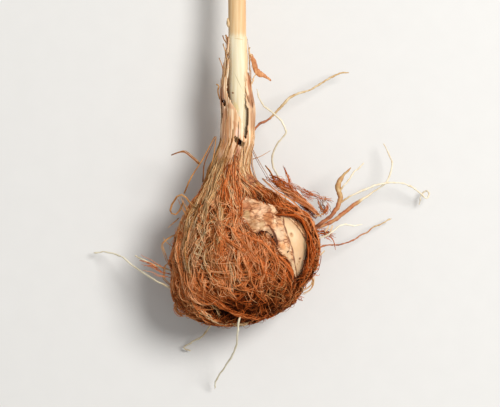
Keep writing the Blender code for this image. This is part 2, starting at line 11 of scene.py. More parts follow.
import bmesh
import bpy
import numpy as np
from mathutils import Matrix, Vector, noise


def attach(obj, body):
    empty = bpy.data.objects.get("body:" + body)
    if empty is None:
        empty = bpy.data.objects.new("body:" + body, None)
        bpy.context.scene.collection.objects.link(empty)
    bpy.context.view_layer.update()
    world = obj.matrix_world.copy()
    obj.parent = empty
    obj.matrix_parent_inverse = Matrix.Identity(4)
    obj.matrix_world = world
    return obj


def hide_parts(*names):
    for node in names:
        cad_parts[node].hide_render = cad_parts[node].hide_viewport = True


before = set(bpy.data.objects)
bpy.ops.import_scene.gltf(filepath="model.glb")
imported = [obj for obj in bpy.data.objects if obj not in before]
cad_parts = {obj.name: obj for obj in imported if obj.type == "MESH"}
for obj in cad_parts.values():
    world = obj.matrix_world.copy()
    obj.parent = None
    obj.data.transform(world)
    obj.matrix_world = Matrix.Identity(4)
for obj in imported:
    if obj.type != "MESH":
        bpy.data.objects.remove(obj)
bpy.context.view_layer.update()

bl_info = {
    "name": "Barbary nut corm",
    "version": (1, 0, 0),
    "blender": (4, 5, 0),
    "location": "3D View > Sidebar > Corm",
    "description": "Dresses the packed solids of a dug-up corm in its fibres, skins, stem and roots",
    "category": "Add Mesh",
}

MM = 0.001
TAU = math.tau

# The solids' measures, in mm: outlines as (Y, radius), the bent axis as (Y, X)
COAT_OUTLINE_MM = (
    (-11.0, 0.0), (-10.7, 3.2), (-9.4, 6.5), (-7.2, 9.0), (-4.0, 10.8), (-0.5, 11.5), (3.0, 11.1), (5.9, 9.7),
    (8.2, 7.8), (9.8, 6.1), (11.2, 4.4), (12.8, 3.35), (15.0, 2.9), (18.0, 2.75), (21.5, 2.7), (24.5, 2.62),
    (26.5, 2.45), (28.6, 2.2), (31.0, 2.0), (33.8, 1.8),
)  # fmt: skip
# The papery skin: a third of a millimetre over the corm, and close under the coat towards the crown
PAPER_OUTLINE_MM = (
    (-9.45, 0.0), (-9.24, 2.7), (-8.2, 5.45), (-6.4, 7.6), (-3.7, 9.35), (-0.5, 10.05), (2.8, 9.7), (5.3, 8.6),
    (6.8, 7.5), (8.2, 6.3), (9.4, 4.9), (10.2, 3.5), (10.7, 2.1),
)  # fmt: skip
CORM_OUTLINE_MM = (
    (-9.1, 0.0), (-8.9, 2.6), (-7.9, 5.2), (-6.2, 7.3), (-3.6, 9.0), (-0.5, 9.7), (2.7, 9.3), (5.2, 8.0),
    (7.0, 6.1), (8.3, 3.9), (9.1, 2.0), (9.4, 0.0),
)  # fmt: skip
AXIS_MM = (
    (-11.0, -2.6), (-7.0, -1.5), (-2.0, -0.5), (2.0, 0.1), (6.0, 0.0), (9.0, -0.9), (11.5, -2.1),
    (13.2, -2.5), (15.0, -2.0), (18.0, -1.2), (22.0, -1.1), (26.0, -1.4), (32.0, -1.2), (48.0, -1.3),
)  # fmt: skip
DEPTH = 0.88
CENTRE_Z = (DEPTH * 11.5 - 0.6) * MM
STEM_DROOP = 0.00065 / MM
CROWN_Y = 11.2 * MM
RIM_Y, STEM_END_Y = 33.8 * MM, 46.5 * MM
STEM_RADIUS, SHEATH_RADIUS = 1.39 * MM, 1.52 * MM
EDGE_THINNING = 1.0 * MM  # how far the coat sinks towards its torn edge

# The tears as seen from above, as (X, Y) in mm: the coat's, the papery skin's over the corm, the one that
# leaves the stem bare in front, a rent low on the neck, and a small one beside the stem
COAT_TEAR_MM = (
    (-1.1, 8.3), (0.2, 9.0), (1.7, 8.9), (2.9, 8.3), (4.6, 7.2), (6.9, 6.6), (8.9, 5.4), (10.0, 3.8), (10.25, 2.0),
    (10.2, 0.5), (9.9, -1.0), (9.25, -2.8), (8.3, -4.5), (7.3, -2.2), (6.5, -0.4), (5.2, 0.9), (4.6, 2.2),
    (4.0, 3.1), (3.2, 3.7), (2.0, 3.4), (0.4, 4.6), (-0.8, 6.4),
)  # fmt: skip
PAPER_TEAR_MM = (
    (5.75, 6.0), (6.6, 5.75), (7.8, 4.8), (9.1, 3.1), (9.9, 1.4), (9.9, 0.0), (9.6, -1.2), (9.0, -2.8),
    (8.2, -4.3), (7.85, -2.6), (7.55, -0.9), (7.1, 1.2), (6.3, 3.3), (5.8, 5.0),
)  # fmt: skip
BARE_STEM_MM = (
    (-2.45, 40.0), (-2.45, 32.0), (-2.5, 28.6), (-2.8, 27.2), (-2.85, 25.3), (-2.5, 24.3), (-1.95, 23.3),
    (-1.3, 22.2), (-0.7, 21.0), (-0.35, 20.2), (-0.25, 19.0), (0.0, 17.9), (0.30, 18.4), (0.58, 20.5),
    (0.64, 22.2), (0.30, 23.1), (0.12, 24.2), (0.12, 27.6), (0.28, 28.6), (0.66, 29.6), (0.50, 31.0),
    (0.35, 34.0), (0.35, 40.0),
)  # fmt: skip
NECK_RENT_MM = (
    (-1.7, 18.25), (-1.2, 18.2), (-0.6, 17.75), (-0.1, 17.2), (-0.3, 16.65), (-0.95, 16.9), (-1.55, 17.5),
)  # fmt: skip
SMALL_RENT_MM = ((-3.6, 24.05), (-3.25, 24.05), (-2.95, 23.4), (-3.05, 23.0), (-3.35, 23.1))

# Routes as (X, Y, height above the ground, thickness) in mm, as in the solids
ROOT_ROUTES_MM = {
    "root_left": (
        (-11.3, -5.4, 10.2, 0.42), (-13.0, -4.6, 10.4, 0.40), (-14.8, -3.6, 9.2, 0.38), (-17.2, -2.2, 7.0, 0.36),
        (-19.2, -0.6, 5.0, 0.34), (-20.7, 0.0, 3.6, 0.32), (-22.6, 0.3, 2.4, 0.30), (-23.9, 0.0, 1.7, 0.26),
    ),
    "root_left_short": (
        (-11.6, -2.6, 8.2, 0.36), (-13.4, -2.0, 7.8, 0.34), (-15.9, -1.0, 6.6, 0.32), (-17.3, -0.3, 5.6, 0.26),
    ),
    "root_base": (
        (-0.7, -9.0, 14.9, 0.40), (-0.9, -10.2, 15.6, 0.40), (-1.1, -12.2, 14.2, 0.38), (-1.4, -14.2, 11.0, 0.36),
        (-2.3, -16.5, 7.6, 0.36), (-3.6, -18.6, 4.8, 0.34), (-4.7, -20.1, 2.8, 0.32), (-4.8, -21.5, 1.4, 0.26),
    ),
    "root_base_left": (
        (-4.9, -9.9, 5.9, 0.42), (-5.5, -11.4, 4.7, 0.40), (-6.6, -12.9, 3.2, 0.36), (-8.6, -14.2, 1.8, 0.34),
        (-9.7, -14.9, 1.2, 0.32), (-8.7, -15.5, 0.8, 0.26),
    ),
    "root_right_short": (
        (11.4, 2.4, 8.6, 0.36), (12.6, 2.8, 8.6, 0.36), (13.7, 3.5, 8.4, 0.34), (14.8, 4.4, 8.0, 0.34),
        (15.8, 4.6, 7.4, 0.32), (17.1, 4.4, 6.6, 0.30), (18.4, 4.6, 5.9, 0.26),
    ),
    "root_right_low": (
        (11.3, 0.9, 6.8, 0.34), (12.9, 1.3, 6.2, 0.32), (14.7, 1.4, 5.4, 0.30), (17.3, 2.3, 4.2, 0.28),
        (19.1, 3.2, 3.4, 0.28), (20.5, 4.3, 2.8, 0.28), (21.9, 4.9, 2.2, 0.26), (23.2, 5.4, 1.7, 0.24),
    ),
    "root_neck_pale": (
        (5.6, 7.0, 4.4, 0.40), (6.4, 8.2, 3.4, 0.40), (6.3, 10.0, 3.9, 0.38), (5.4, 11.9, 5.2, 0.36),
        (4.4, 13.6, 6.4, 0.36), (4.2, 15.3, 7.4, 0.36), (5.1, 17.3, 8.6, 0.36), (6.5, 19.0, 9.2, 0.36),
        (5.8, 20.8, 9.3, 0.36), (4.4, 22.0, 9.3, 0.34), (2.9, 23.0, 9.1, 0.34), (2.1, 24.4, 9.0, 0.32),
        (1.9, 25.8, 9.0, 0.26),
    ),
    "root_neck_brown": (
        (1.1, 19.0, 7.9, 0.46), (2.2, 20.4, 7.0, 0.46), (3.5, 21.0, 6.6, 0.44), (4.7, 21.9, 6.6, 0.44),
        (5.8, 23.1, 6.8, 0.56), (6.9, 24.4, 7.0, 0.48), (8.3, 25.2, 6.8, 0.40), (10.3, 25.8, 6.2, 0.38),
        (11.9, 26.6, 5.6, 0.36), (13.5, 27.7, 4.8, 0.34), (14.9, 28.4, 4.0, 0.32), (16.3, 28.6, 3.4, 0.26),
    ),
}  # fmt: skip
BROWN_ROOTS = ("root_right_low", "root_neck_brown")
# How pale each root is at its foot and its tip, from 0 to 1, and the stretch of it over which it turns
ROOT_TONES = {
    "root_left": (0.50, 0.70, (0.0, 0.5)),
    "root_left_short": (0.35, 0.60, (0.1, 0.7)),
    "root_base": (0.60, 0.70, (0.0, 0.3)),
    "root_base_left": (0.35, 0.50, (0.0, 0.8)),
    "root_right_short": (0.55, 0.80, (0.1, 0.5)),
    "root_right_low": (0.20, 0.45, (0.3, 0.9)),
    "root_neck_pale": (0.45, 0.62, (0.1, 0.3)),
    "root_neck_brown": (0.12, 0.55, (0.1, 0.35)),
}
CLUSTER_TONES = (
    (0.20, 0.46, (0.30, 0.60)),
    (0.50, 0.80, (0.0, 0.3)),
    (0.45, 0.85, (0.0, 0.12)),
    (0.28, 0.85, (0.36, 0.54)),
)
CLUSTER_ROUTES_MM = (
    ((10.8, 3.9, 9.2, 0.66), (12.0, 4.9, 9.4, 0.70), (13.3, 5.8, 9.4, 0.72), (14.4, 7.2, 9.2, 0.80),
     (14.9, 8.8, 9.0, 0.96), (14.5, 10.3, 8.8, 1.06), (14.7, 11.3, 8.6, 0.92), (15.4, 12.3, 8.4, 0.60),
     (16.6, 13.5, 8.0, 0.28)),
    ((14.7, 9.7, 8.8, 0.40), (15.8, 11.1, 9.0, 0.34), (17.2, 12.9, 8.2, 0.32), (18.6, 14.2, 7.2, 0.26)),
    ((14.6, 7.8, 9.1, 0.40), (16.4, 9.0, 9.2, 0.36), (18.3, 10.0, 8.8, 0.36), (20.2, 10.8, 8.2, 0.36),
     (22.6, 11.2, 7.2, 0.34), (25.0, 10.9, 5.6, 0.34), (26.5, 10.3, 4.8, 0.33), (27.6, 9.5, 4.1, 0.32),
     (28.35, 8.85, 3.5, 0.32), (28.85, 8.9, 3.0, 0.31), (29.1, 9.4, 2.6, 0.30), (28.8, 9.8, 2.2, 0.30),
     (28.3, 9.6, 1.9, 0.29), (27.8, 8.9, 1.6, 0.28), (27.5, 7.7, 1.2, 0.24)),
    ((10.8, 3.9, 9.1, 0.64), (12.6, 4.6, 8.4, 0.64), (14.0, 5.3, 8.0, 0.76), (15.0, 6.1, 7.8, 0.82),
     (16.6, 7.3, 7.4, 0.74), (18.1, 8.3, 6.9, 0.60), (19.1, 9.0, 6.6, 0.34), (20.7, 10.1, 6.0, 0.32),
     (22.1, 11.1, 5.6, 0.32), (23.0, 12.8, 5.0, 0.32), (23.2, 14.7, 4.4, 0.30), (21.8, 17.3, 3.4, 0.26)),
)  # fmt: skip
# Fibres that have sprung loose, as (X, Y, height) in mm: how many run along each route, how far they splay at
# its start and its end, their thickness against the coat's, and how pale they are
SPRUNG_RUST_MM = (
    (((-11.0, -3.2, 10.4), (-13.0, -2.8, 11.0), (-14.6, -1.9, 10.8), (-16.3, -1.7, 10.2)), 12, 0.25, 0.35, 1.2, 0.50),
    (((2.7, 11.8, 9.8), (5.0, 9.7, 10.6), (7.2, 8.5, 10.6), (8.95, 6.5, 10.3), (10.0, 4.5, 9.4)),
     5, 0.05, 0.06, 0.9, 0.86),
    (((3.6, 12.0, 8.4), (5.0, 11.3, 8.8), (6.4, 10.4, 8.8), (7.6, 9.8, 8.8)), 70, 0.30, 0.42, 0.9, 0.58),
    (((4.4, 11.0, 8.6), (6.2, 9.9, 8.8), (7.8, 9.0, 8.8), (9.4, 7.9, 8.6), (10.8, 6.8, 8.4), (12.0, 5.7, 8.2)),
     84, 0.44, 0.06, 0.95, 0.88),
    (((5.5, 10.4, 8.4), (7.4, 9.6, 8.6), (8.8, 8.5, 8.5), (10.2, 7.3, 8.3)), 60, 0.32, 0.10, 0.9, 0.70),
    (((8.2, 8.2, 7.7), (9.4, 7.2, 7.6), (10.4, 6.4, 7.6), (11.3, 5.6, 7.6)), 46, 0.24, 0.20, 0.9, 0.30),
    (((5.97, 13.9, 8.3), (6.45, 12.8, 8.4), (6.8, 12.0, 8.5), (7.35, 10.6, 8.6), (8.0, 9.6, 8.7)),
     16, 0.08, 0.24, 0.9, 0.70),
    (((6.9, 10.9, 8.5), (8.4, 10.3, 8.6), (9.45, 9.6, 8.5), (11.4, 8.9, 8.3), (13.0, 8.5, 8.1), (13.8, 8.7, 8.0)),
     14, 0.22, 0.22, 0.7, 0.66),
    (((8.9, 9.8, 8.4), (9.8, 9.3, 8.5), (10.8, 8.8, 8.4)), 22, 0.22, 0.25, 0.8, 0.45),
    (((11.2, 8.5, 8.2), (11.8, 7.2, 8.0), (12.7, 6.6, 7.8), (12.9, 7.8, 7.8)), 12, 0.25, 0.30, 0.7, 0.60),
    (((11.6, 6.0, 8.3), (12.6, 6.6, 8.4), (12.9, 7.8, 8.4)), 10, 0.10, 0.15, 1.0, 0.52),
    (((10.9, 3.4, 7.8), (12.3, 3.4, 7.5), (13.7, 2.7, 7.0)), 34, 0.22, 0.25, 0.9, 0.52),
    (((13.2, 2.8, 7.0), (13.8, 2.0, 6.6), (14.1, 0.6, 6.2)), 2, 0.05, 0.10, 1.1, 0.45),
    (((-9.3, -8.3, 5.0), (-10.2, -7.8, 4.9), (-11.0, -8.3, 4.7), (-10.8, -9.0, 4.4), (-10.2, -9.6, 4.2),
      (-9.2, -9.4, 4.4)),
     26, 0.14, 0.16, 1.3, 0.84),
    (((2.6, -9.3, 5.0), (3.0, -10.3, 4.4)), 8, 0.30, 0.30, 1.1, 0.50),
    (((8.0, -6.6, 6.6), (9.2, -7.1, 6.0)), 8, 0.30, 0.30, 1.1, 0.50),
    (((9.8, -3.0, 8.2), (11.2, -3.4, 7.6)), 7, 0.30, 0.25, 1.1, 0.55),
)  # fmt: skip
SPRUNG_STRAW_MM = (
    (((-9.45, 9.4, 12.6), (-8.4, 11.9, 12.6), (-6.9, 14.2, 12.4), (-5.8, 16.2, 12.0), (-4.7, 18.3, 11.6)),
     3, 0.05, 0.05, 1.5, 0.55),
    (((-7.07, 14.0, 12.4), (-7.96, 14.85, 12.3), (-9.45, 15.9, 12.1), (-11.2, 15.4, 12.0)), 4, 0.04, 0.10, 1.5, 0.42),
    (((-6.2, 11.3, 11.0), (-5.0, 14.85, 11.2), (-4.5, 18.3, 11.6)), 3, 0.10, 0.03, 1.4, 0.42),
    (((-6.5, 11.3, 10.6), (-6.3, 14.2, 10.9), (-5.1, 16.9, 11.2), (-4.6, 18.0, 11.5)), 3, 0.12, 0.03, 1.3, 0.40),
    (((-7.4, 7.1, 13.4), (-8.4, 7.8, 12.8), (-9.2, 8.9, 12.6), (-10.3, 9.2, 12.2), (-11.5, 7.4, 11.8),
      (-11.4, 6.35, 11.6), (-10.4, 6.3, 11.4), (-9.6, 8.0, 11.6)), 4, 0.06, 0.05, 1.4, 0.45),
    (((-8.6, 6.0, 12.8), (-9.2, 7.2, 12.4), (-9.8, 8.8, 11.9)), 6, 0.20, 0.15, 1.1, 0.36),
    (((-10.7, 3.0, 9.8), (-11.9, 2.4, 9.9), (-12.9, 1.4, 9.8), (-12.5, 0.1, 9.8), (-12.0, -1.3, 9.8),
      (-11.2, -0.9, 9.9)),
     3, 0.06, 0.08, 1.3, 0.50),
    (((-10.4, 5.6, 9.6), (-11.0, 5.0, 9.8), (-11.9, 4.3, 9.8)), 3, 0.08, 0.15, 1.0, 0.45),
    (((-11.2, 1.0, 9.6), (-12.4, 2.0, 9.8), (-12.7, 2.6, 9.8)), 2, 0.05, 0.08, 1.0, 0.50),
    (((-11.3, -1.2, 9.8), (-12.4, -1.7, 10.0), (-12.6, -2.9, 9.8), (-12.6, -3.8, 9.4), (-11.3, -5.0, 9.0)),
     3, 0.06, 0.10, 1.2, 0.48),
    (((0.9, 17.2, 8.8), (1.15, 15.6, 8.8), (1.25, 13.9, 9.0), (1.8, 11.9, 9.6), (2.5, 10.2, 10.8)),
     3, 0.06, 0.10, 1.3, 0.42),
    (((1.1, 16.4, 8.6), (1.7, 15.2, 8.6), (2.4, 13.9, 8.7), (3.4, 12.2, 8.8), (3.8, 11.2, 9.0)),
     2, 0.05, 0.10, 1.0, 0.42),
    (((1.2, 14.8, 8.6), (2.6, 15.3, 8.4), (4.0, 16.1, 8.3)), 2, 0.03, 0.05, 0.9, 0.45),
    (((3.2, 13.8, 7.6), (3.9, 12.9, 7.6), (4.6, 11.6, 7.8)), 6, 0.06, 0.12, 1.2, 0.40),
    (((11.9, 8.5, 7.9), (12.3, 7.4, 7.8), (12.6, 6.3, 7.8)), 26, 0.42, 0.34, 0.9, 0.30),
    (((12.5, 3.4, 8.0), (12.9, 4.0, 8.0), (13.1, 4.6, 8.0)), 2, 0.04, 0.06, 1.6, 0.95),
    (((13.2, 3.2, 7.8), (13.5, 3.8, 7.8), (13.7, 4.5, 7.8)), 2, 0.04, 0.06, 1.4, 0.85),
    (((11.4, -0.5, 8.6), (12.0, 0.0, 8.6), (12.5, 0.5, 8.5)), 2, 0.03, 0.05, 1.7, 1.00),
    (((10.7, 5.9, 8.7), (11.3, 5.9, 8.8), (12.2, 6.3, 8.6)), 2, 0.03, 0.05, 1.4, 0.95),
    (((9.8, -3.4, 8.4), (10.6, -4.0, 7.8), (10.3, -5.3, 7.4), (9.0, -6.2, 7.2)), 6, 0.12, 0.15, 1.2, 0.80),
    (((-3.45, 34.1, 9.6), (-3.2, 33.4, 9.8), (-2.85, 32.8, 10.0)), 2, 0.03, 0.05, 1.5, 0.60),
    (((-3.0, 34.2, 9.4), (-2.8, 33.6, 9.6), (-2.7, 31.0, 10.0)), 3, 0.03, 0.10, 1.3, 0.55),
    (((-3.4, 32.8, 9.8), (-3.05, 31.6, 10.0), (-2.75, 30.2, 10.3), (-2.5, 29.0, 10.6)), 3, 0.03, 0.08, 1.4, 0.66),
    (((-4.0, 30.6, 9.6), (-3.5, 29.4, 9.8), (-3.2, 28.0, 9.8)), 2, 0.02, 0.05, 1.1, 0.55),
    (((-4.45, 26.5, 9.6), (-4.1, 26.2, 9.8), (-4.25, 25.4, 9.6), (-4.0, 24.2, 9.8)), 5, 0.06, 0.06, 1.3, 0.55),
)  # fmt: skip
# The scrap of dry sheath: its flat ribbon, then the threads that it hangs by and ends in
SCRAP_RIBBON_MM = (
    (0.9, 31.1, 10.0, 0.60), (1.25, 30.3, 10.1, 0.85), (1.5, 29.5, 10.0, 0.95), (1.75, 28.6, 9.9, 1.10),
    (2.3, 28.1, 9.9, 1.10), (3.0, 27.8, 9.8, 0.75), (3.6, 27.4, 9.7, 0.45), (4.1, 27.0, 9.6, 0.30),
)  # fmt: skip
SCRAP_THREADS_MM = (
    ((0.8, 32.2, 10.2, 0.22), (0.6, 31.7, 10.2, 0.26), (0.75, 31.2, 10.1, 0.28), (1.1, 30.8, 10.0, 0.24)),
    ((1.8, 28.3, 9.9, 0.22), (1.4, 27.6, 9.8, 0.20), (1.2, 27.0, 9.7, 0.20), (0.9, 26.2, 9.5, 0.18)),
)  # fmt: skip

# Hollows in the coat's upper side, as the middle and the reach along X and Y in mm, and how deep. The mat in
# them and the fibres over them are darkened there as painted shade
HOLLOWS_MM = (
    ((-5.2, -8.3), (1.6, 0.9), 0.6), ((-3.6, -9.1), (2.0, 0.9), 0.7), ((-1.9, -9.8), (1.8, 0.6), 0.5),
    ((4.1, 2.7), (0.9, 1.6), 0.35), ((0.2, -5.9), (2.4, 0.9), 0.4), ((-9.9, -8.8), (1.0, 0.7), 0.5),
    ((3.9, -8.3), (2.6, 0.9), 0.15), ((-0.9, 9.2), (0.8, 1.6), 0.3),
)  # fmt: skip
# The net's stout ribs, as (X, Y) in mm: colour, how many strands each has, how far they spread, how pale they
# are, and how long the branches are that leave them to both sides
RIBS_MM = (
    (((-1.3, 3.6), (0.2, 2.9), (2.3, 2.0), (4.2, 0.65), (5.2, -0.3), (7.1, -2.05)), "rust", 8, 0.10, 0.68, 0.9),
    (((-5.3, 5.7), (-2.5, 4.3), (-0.9, 2.5), (0.3, 0.9), (2.3, -0.7)), "rust", 7, 0.12, 0.66, 0.9),
    (((-4.5, 4.1), (-2.9, 2.5), (-0.9, 1.1), (0.4, 0.1), (1.0, -1.3)), "rust", 7, 0.12, 0.62, 0.9),
    (((-0.6, 1.2), (-0.3, 0.2), (0.2, -1.3), (0.8, -2.5), (0.9, -3.9), (1.9, -5.6)), "rust", 9, 0.13, 0.70, 1.0),
    (((0.9, 0.7), (2.3, -0.5), (2.8, -2.3), (3.6, -4.2)), "rust", 6, 0.10, 0.62, 0.9),
    (((1.0, 3.4), (1.6, 2.6), (2.7, 1.8), (3.8, 0.8), (4.6, -0.6), (4.9, -2.2)), "rust", 6, 0.12, 0.66, 0.7),
    (((4.3, -0.9), (5.6, -1.9), (6.6, -3.2), (7.2, -4.8), (7.3, -6.4)), "rust", 7, 0.14, 0.54, 0.8),
    (((5.3, 0.1), (6.5, -1.1), (7.5, -2.9), (8.2, -4.9)), "rust", 8, 0.12, 0.50, 0.5),
    (((-8.9, 7.5), (-10.0, 5.1), (-10.5, 2.3), (-10.5, -0.3), (-10.1, -2.9), (-8.9, -4.9)),
     "rust", 12, 0.20, 0.72, 0.8),
    (((-7.4, 8.0), (-8.9, 5.0), (-9.4, 2.0), (-9.3, -0.8), (-8.6, -3.4)), "straw", 9, 0.25, 0.52, 0.7),
    (((-8.3, -4.7), (-4.9, -6.7), (-1.9, -8.5), (2.1, -9.7)), "rust", 10, 0.22, 0.44, 0.6),
    (((-7.3, -6.6), (-5.0, -7.6), (-3.0, -8.4), (0.0, -9.3), (2.8, -9.9)), "rust", 8, 0.16, 0.46, 0.5),
    (((-8.4, -7.2), (-7.0, -8.5), (-5.5, -9.7), (-4.0, -10.4), (-2.2, -10.7)), "rust", 14, 0.28, 0.64, 0.4),
    (((-9.6, -2.6), (-8.9, -4.4), (-7.6, -6.0), (-6.2, -7.2)), "rust", 8, 0.18, 0.64, 0.8),
    (((-0.6, -4.9), (1.0, -5.5), (2.1, -6.2), (3.6, -7.5)), "rust", 5, 0.10, 0.56, 0.6),
    (((-8.1, -7.3), (-7.0, -8.3), (-5.5, -9.4), (-4.5, -10.1), (-2.8, -10.5), (-1.5, -10.6)),
     "straw", 5, 0.10, 0.86, 0.3),
    (((-5.8, -7.5), (-4.8, -8.7), (-3.8, -9.8)), "straw", 4, 0.08, 0.72, 0.2),
    (((-2.0, -10.6), (-0.6, -10.6), (0.7, -10.5)), "straw", 12, 0.14, 0.84, 0.0),
    (((5.1, 7.3), (7.6, 6.9), (9.4, 5.6), (10.7, 3.6), (11.1, 1.0), (10.9, -1.5), (10.1, -4.0)),
     "rust", 11, 0.20, 0.36, 0.4),
    (((4.4, 8.2), (6.6, 7.8), (8.8, 6.7), (10.5, 4.9), (11.3, 2.6), (11.4, 0.0), (11.0, -2.5)),
     "rust", 6, 0.16, 0.60, 0.3),
    (((10.6, 2.6), (10.65, 0.2), (10.2, -2.2), (9.4, -4.4)), "rust", 10, 0.14, 0.38, 0.2),
    (((-1.5, 15.5), (-1.3, 13.0), (-1.1, 10.8), (-0.9, 8.6), (-0.9, 6.4)), "rust", 6, 0.20, 0.58, 0.3),
    (((-2.4, 14.0), (-2.9, 11.0), (-3.4, 8.4), (-4.2, 5.6)), "rust", 9, 0.22, 0.54, 0.3),
    (((-4.4, 14.4), (-5.0, 12.4), (-6.6, 9.6), (-8.4, 6.8)), "straw", 12, 0.24, 0.66, 0.0),
    (((-3.4, 14.6), (-4.0, 12.0), (-5.2, 9.2), (-6.4, 6.6), (-6.9, 4.4)), "straw", 16, 0.30, 0.72, 0.0),
)  # fmt: skip

# The camera looks straight down. At the corm's middle height its frame is 78 mm wide
VIEW_CENTRE_MM = (0.78, 7.88)
VIEW_WIDTH = 78 * MM
SENSOR_WIDTH_MM, LENS_MM = 36.0, 250.0
KEY_PLACE = (0.22, 0.13, 0.42)  # of the soft light

GROUND_GAP = 0.05 * MM  # between the ground and every skin and root
BASE_GAP = 0.4 * MM  # how near to the middle of the base a fibre may come, along the coat's skin
SMALLEST_ROUND = 1.2 * MM  # a fibre turns about the axis as if the coat were nowhere thinner than this
SHORTEST_LEFT = 0.34  # the share of a fibre that a tear must leave for it to be kept
BRANCH_EVERY_MM = 0.2  # along a rib
# Where each set of random draws starts from
COAT_SEED, SPRUNG_SEED, BRISTLE_SEED, SCRAP_SEED, RIB_SEED, ROOT_SEED = 17, 23, 29, 31, 37, 41


# ---------------------------------------------------------------------------------------------- colour


SOFT_RANGE = {"interpolation_type": "SMOOTHSTEP"}
OF_COLOURS = {"data_type": "RGBA"}


def linear(code):
    """Turns an sRGB hex colour to linear."""
    parts = [int(code[i : i + 2], 16) / 255 for i in (0, 2, 4)]
    return tuple(c / 12.92 if c <= 0.04045 else ((c + 0.055) / 1.055) ** 2.4 for c in parts)


def fill_sockets(tree, node, sockets):
    """Gives a node's sockets their values or their sources. A node as a source means its first live output."""
    for name, value in sockets.items():
        socket = next(s for s in node.inputs if name in (s.identifier, s.name) and s.enabled)
        if isinstance(value, bpy.types.Node):
            value = next(s for s in value.outputs if s.enabled)
        if isinstance(value, bpy.types.NodeSocket):
            tree.links.new(value, socket)
        else:
            socket.default_value = value


def add_node(tree, kind, settings=None, sockets=None):
    """Adds a node with its own properties and its sockets. A colour ramp's stops hold sRGB hex or linear."""
    node = tree.nodes.new(kind)
    for name, value in (settings or {}).items():
        if name != "stops":
            setattr(node, name, value)
            continue
        ramp = node.color_ramp.elements
        while len(ramp) < len(value):
            ramp.new(0.5)
        for element, (place, colour) in zip(ramp, value):
            element.position, element.color = place, (*(linear(colour) if isinstance(colour, str) else colour), 1)
    fill_sockets(tree, node, sockets or {})
    return node


def new_material(name):
    """An empty material with its shader: gives the material, its tree and the shader."""
    made = bpy.data.materials.new(name)
    made.use_nodes = True
    tree = made.node_tree
    return made, tree, tree.nodes["Principled BSDF"]


def dry_fibre(name, stops):
    """Dead leaf-base fibre: dry cellulose strands, matt with a faint gloss along them. The map's U picks how
    pale a fibre is and V runs along it, so that each fibre is darker towards its ends, most where it leaves
    the mat: painted shade where it dips into the mat."""
    made, tree, shader = new_material(name)
    spot = add_node(tree, "ShaderNodeUVMap", {"uv_map": "OFBake"})
    parts = add_node(tree, "ShaderNodeSeparateXYZ", None, {"Vector": spot})
    tone = add_node(tree, "ShaderNodeValToRGB", {"stops": stops}, {"Fac": parts.outputs["X"]})
    # Painted shade: each fibre is darkened towards its two ends, where it dips into the mat
    stops = ((0.0, (0.45,) * 3), (0.22, (1.0,) * 3), (0.85, (1.0,) * 3), (1.0, (0.7,) * 3))
    ends = add_node(tree, "ShaderNodeValToRGB", {"stops": stops}, {"Fac": parts.outputs["Y"]})
    shade_at_ends = {"data_type": "RGBA", "blend_type": "MULTIPLY"}
    shade = add_node(tree, "ShaderNodeMix", shade_at_ends, {"Factor_Float": 1.0, "A_Color": tone, "B_Color": ends})
    fill_sockets(tree, shader, {"Base Color": shade, "Roughness": 0.65, "Specular IOR Level": 0.05})
    return made


def fibre_looks(settings):
    """The three colours of fibre: rust and dark from old net, straw from younger leaf bases."""
    tones = {
        "rust": ((0.0, "300d02"), (0.25, "7c320c"), (0.5, settings.rust), (0.75, "e08b4f"), (1.0, "f2b37f")),
        "dark": ((0.0, "2a0d02"), (0.3, "4a1a04"), (0.55, settings.dark), (0.8, "9a552a"), (1.0, "c08654")),
        "straw": ((0.0, "6e3c1a"), (0.25, "8f5428"), (0.5, settings.straw), (0.75, "dcae78"), (1.0, "ecca9c")),
    }
    looks = {}
    for colour, stops in tones.items():
        name = colour + "_leaf_fibre"
        looks[colour] = bpy.data.materials.get(name) or dry_fibre(name, stops)
    return looks


# ---------------------------------------------------------------------------------------------- shapes


def smooth_line(points, pieces, closed=False):
    """A smooth line through the points, as pieces + 1 rows."""
    p = np.asarray(points, float)
    last = len(p) if closed else len(p) - 1
    place = np.linspace(0, last, pieces + 1)
    i = np.minimum(place.astype(int), last - 1)
    f = (place - i)[:, None]
    a, b, c, d = (p[(i + k) % len(p) if closed else np.clip(i + k, 0, last)] for k in (-1, 0, 1, 2))
    return 0.5 * (2 * b + (c - a) * f + (2 * a - 5 * b + 4 * c - d) * f**2 + (3 * b - a - 3 * c + d) * f**3)


def along_line(line, share):
    """The places on a line of evenly spread points at shares of its length."""
    knots = np.linspace(0, 1, len(line))
    return np.stack([np.interp(share, knots, column) for column in line.T], axis=-1)


def soft_step(low, high, value):
    """0 up to low and 1 from high on, with a smooth slope between them."""
    f = np.clip((value - low) / (high - low), 0, 1)
    return f * f * (3 - 2 * f)


def near(x, y, place, reach):
    """1 at a place seen from above, falling softly to 0 at its reach, which is in mm as the place is."""
    distance = np.hypot((x / MM - place[0]) / reach[0], (y / MM - place[1]) / reach[1])
    return 1 - soft_step(0.5, 1.0, distance)


def cloud(points):
    """Smooth noise at each point, from about -0.7 to 0.7."""
    flat = np.reshape(points, (-1, 3)).tolist()
    return np.array([noise.noise(Vector(p)) for p in flat]).reshape(np.shape(points)[:-1])


def folds(close, turn, along):
    """Smooth noise round the body. The folds lie closer the higher close is, and change as along does."""
    return cloud(np.stack([close * np.cos(turn), close * np.sin(turn), along + 0 * turn], axis=-1))


def axis_at(y):
    """The bent axis at heights y along Y: its X and its Z."""
    heights, sideways = np.array(AXIS_MM).T * MM
    y = np.asarray(y, float)
    i = np.clip(np.searchsorted(heights, y, side="right") - 1, 0, len(heights) - 2)
    f = np.clip((y - heights[i]) / (heights[i + 1] - heights[i]), 0, 1)
    x = sideways[i] + (sideways[i + 1] - sideways[i]) * (3 * f**2 - 2 * f**3)
    return x, CENTRE_Z - STEM_DROOP * np.maximum(y - CROWN_Y, 0) ** 2


def depth_at(y):
    """How deep the body is from front to back against its width: flattened at the corm, round up the neck."""
    return DEPTH + (1 - DEPTH) * np.clip((y - CROWN_Y) / (4 * MM), 0, 1)


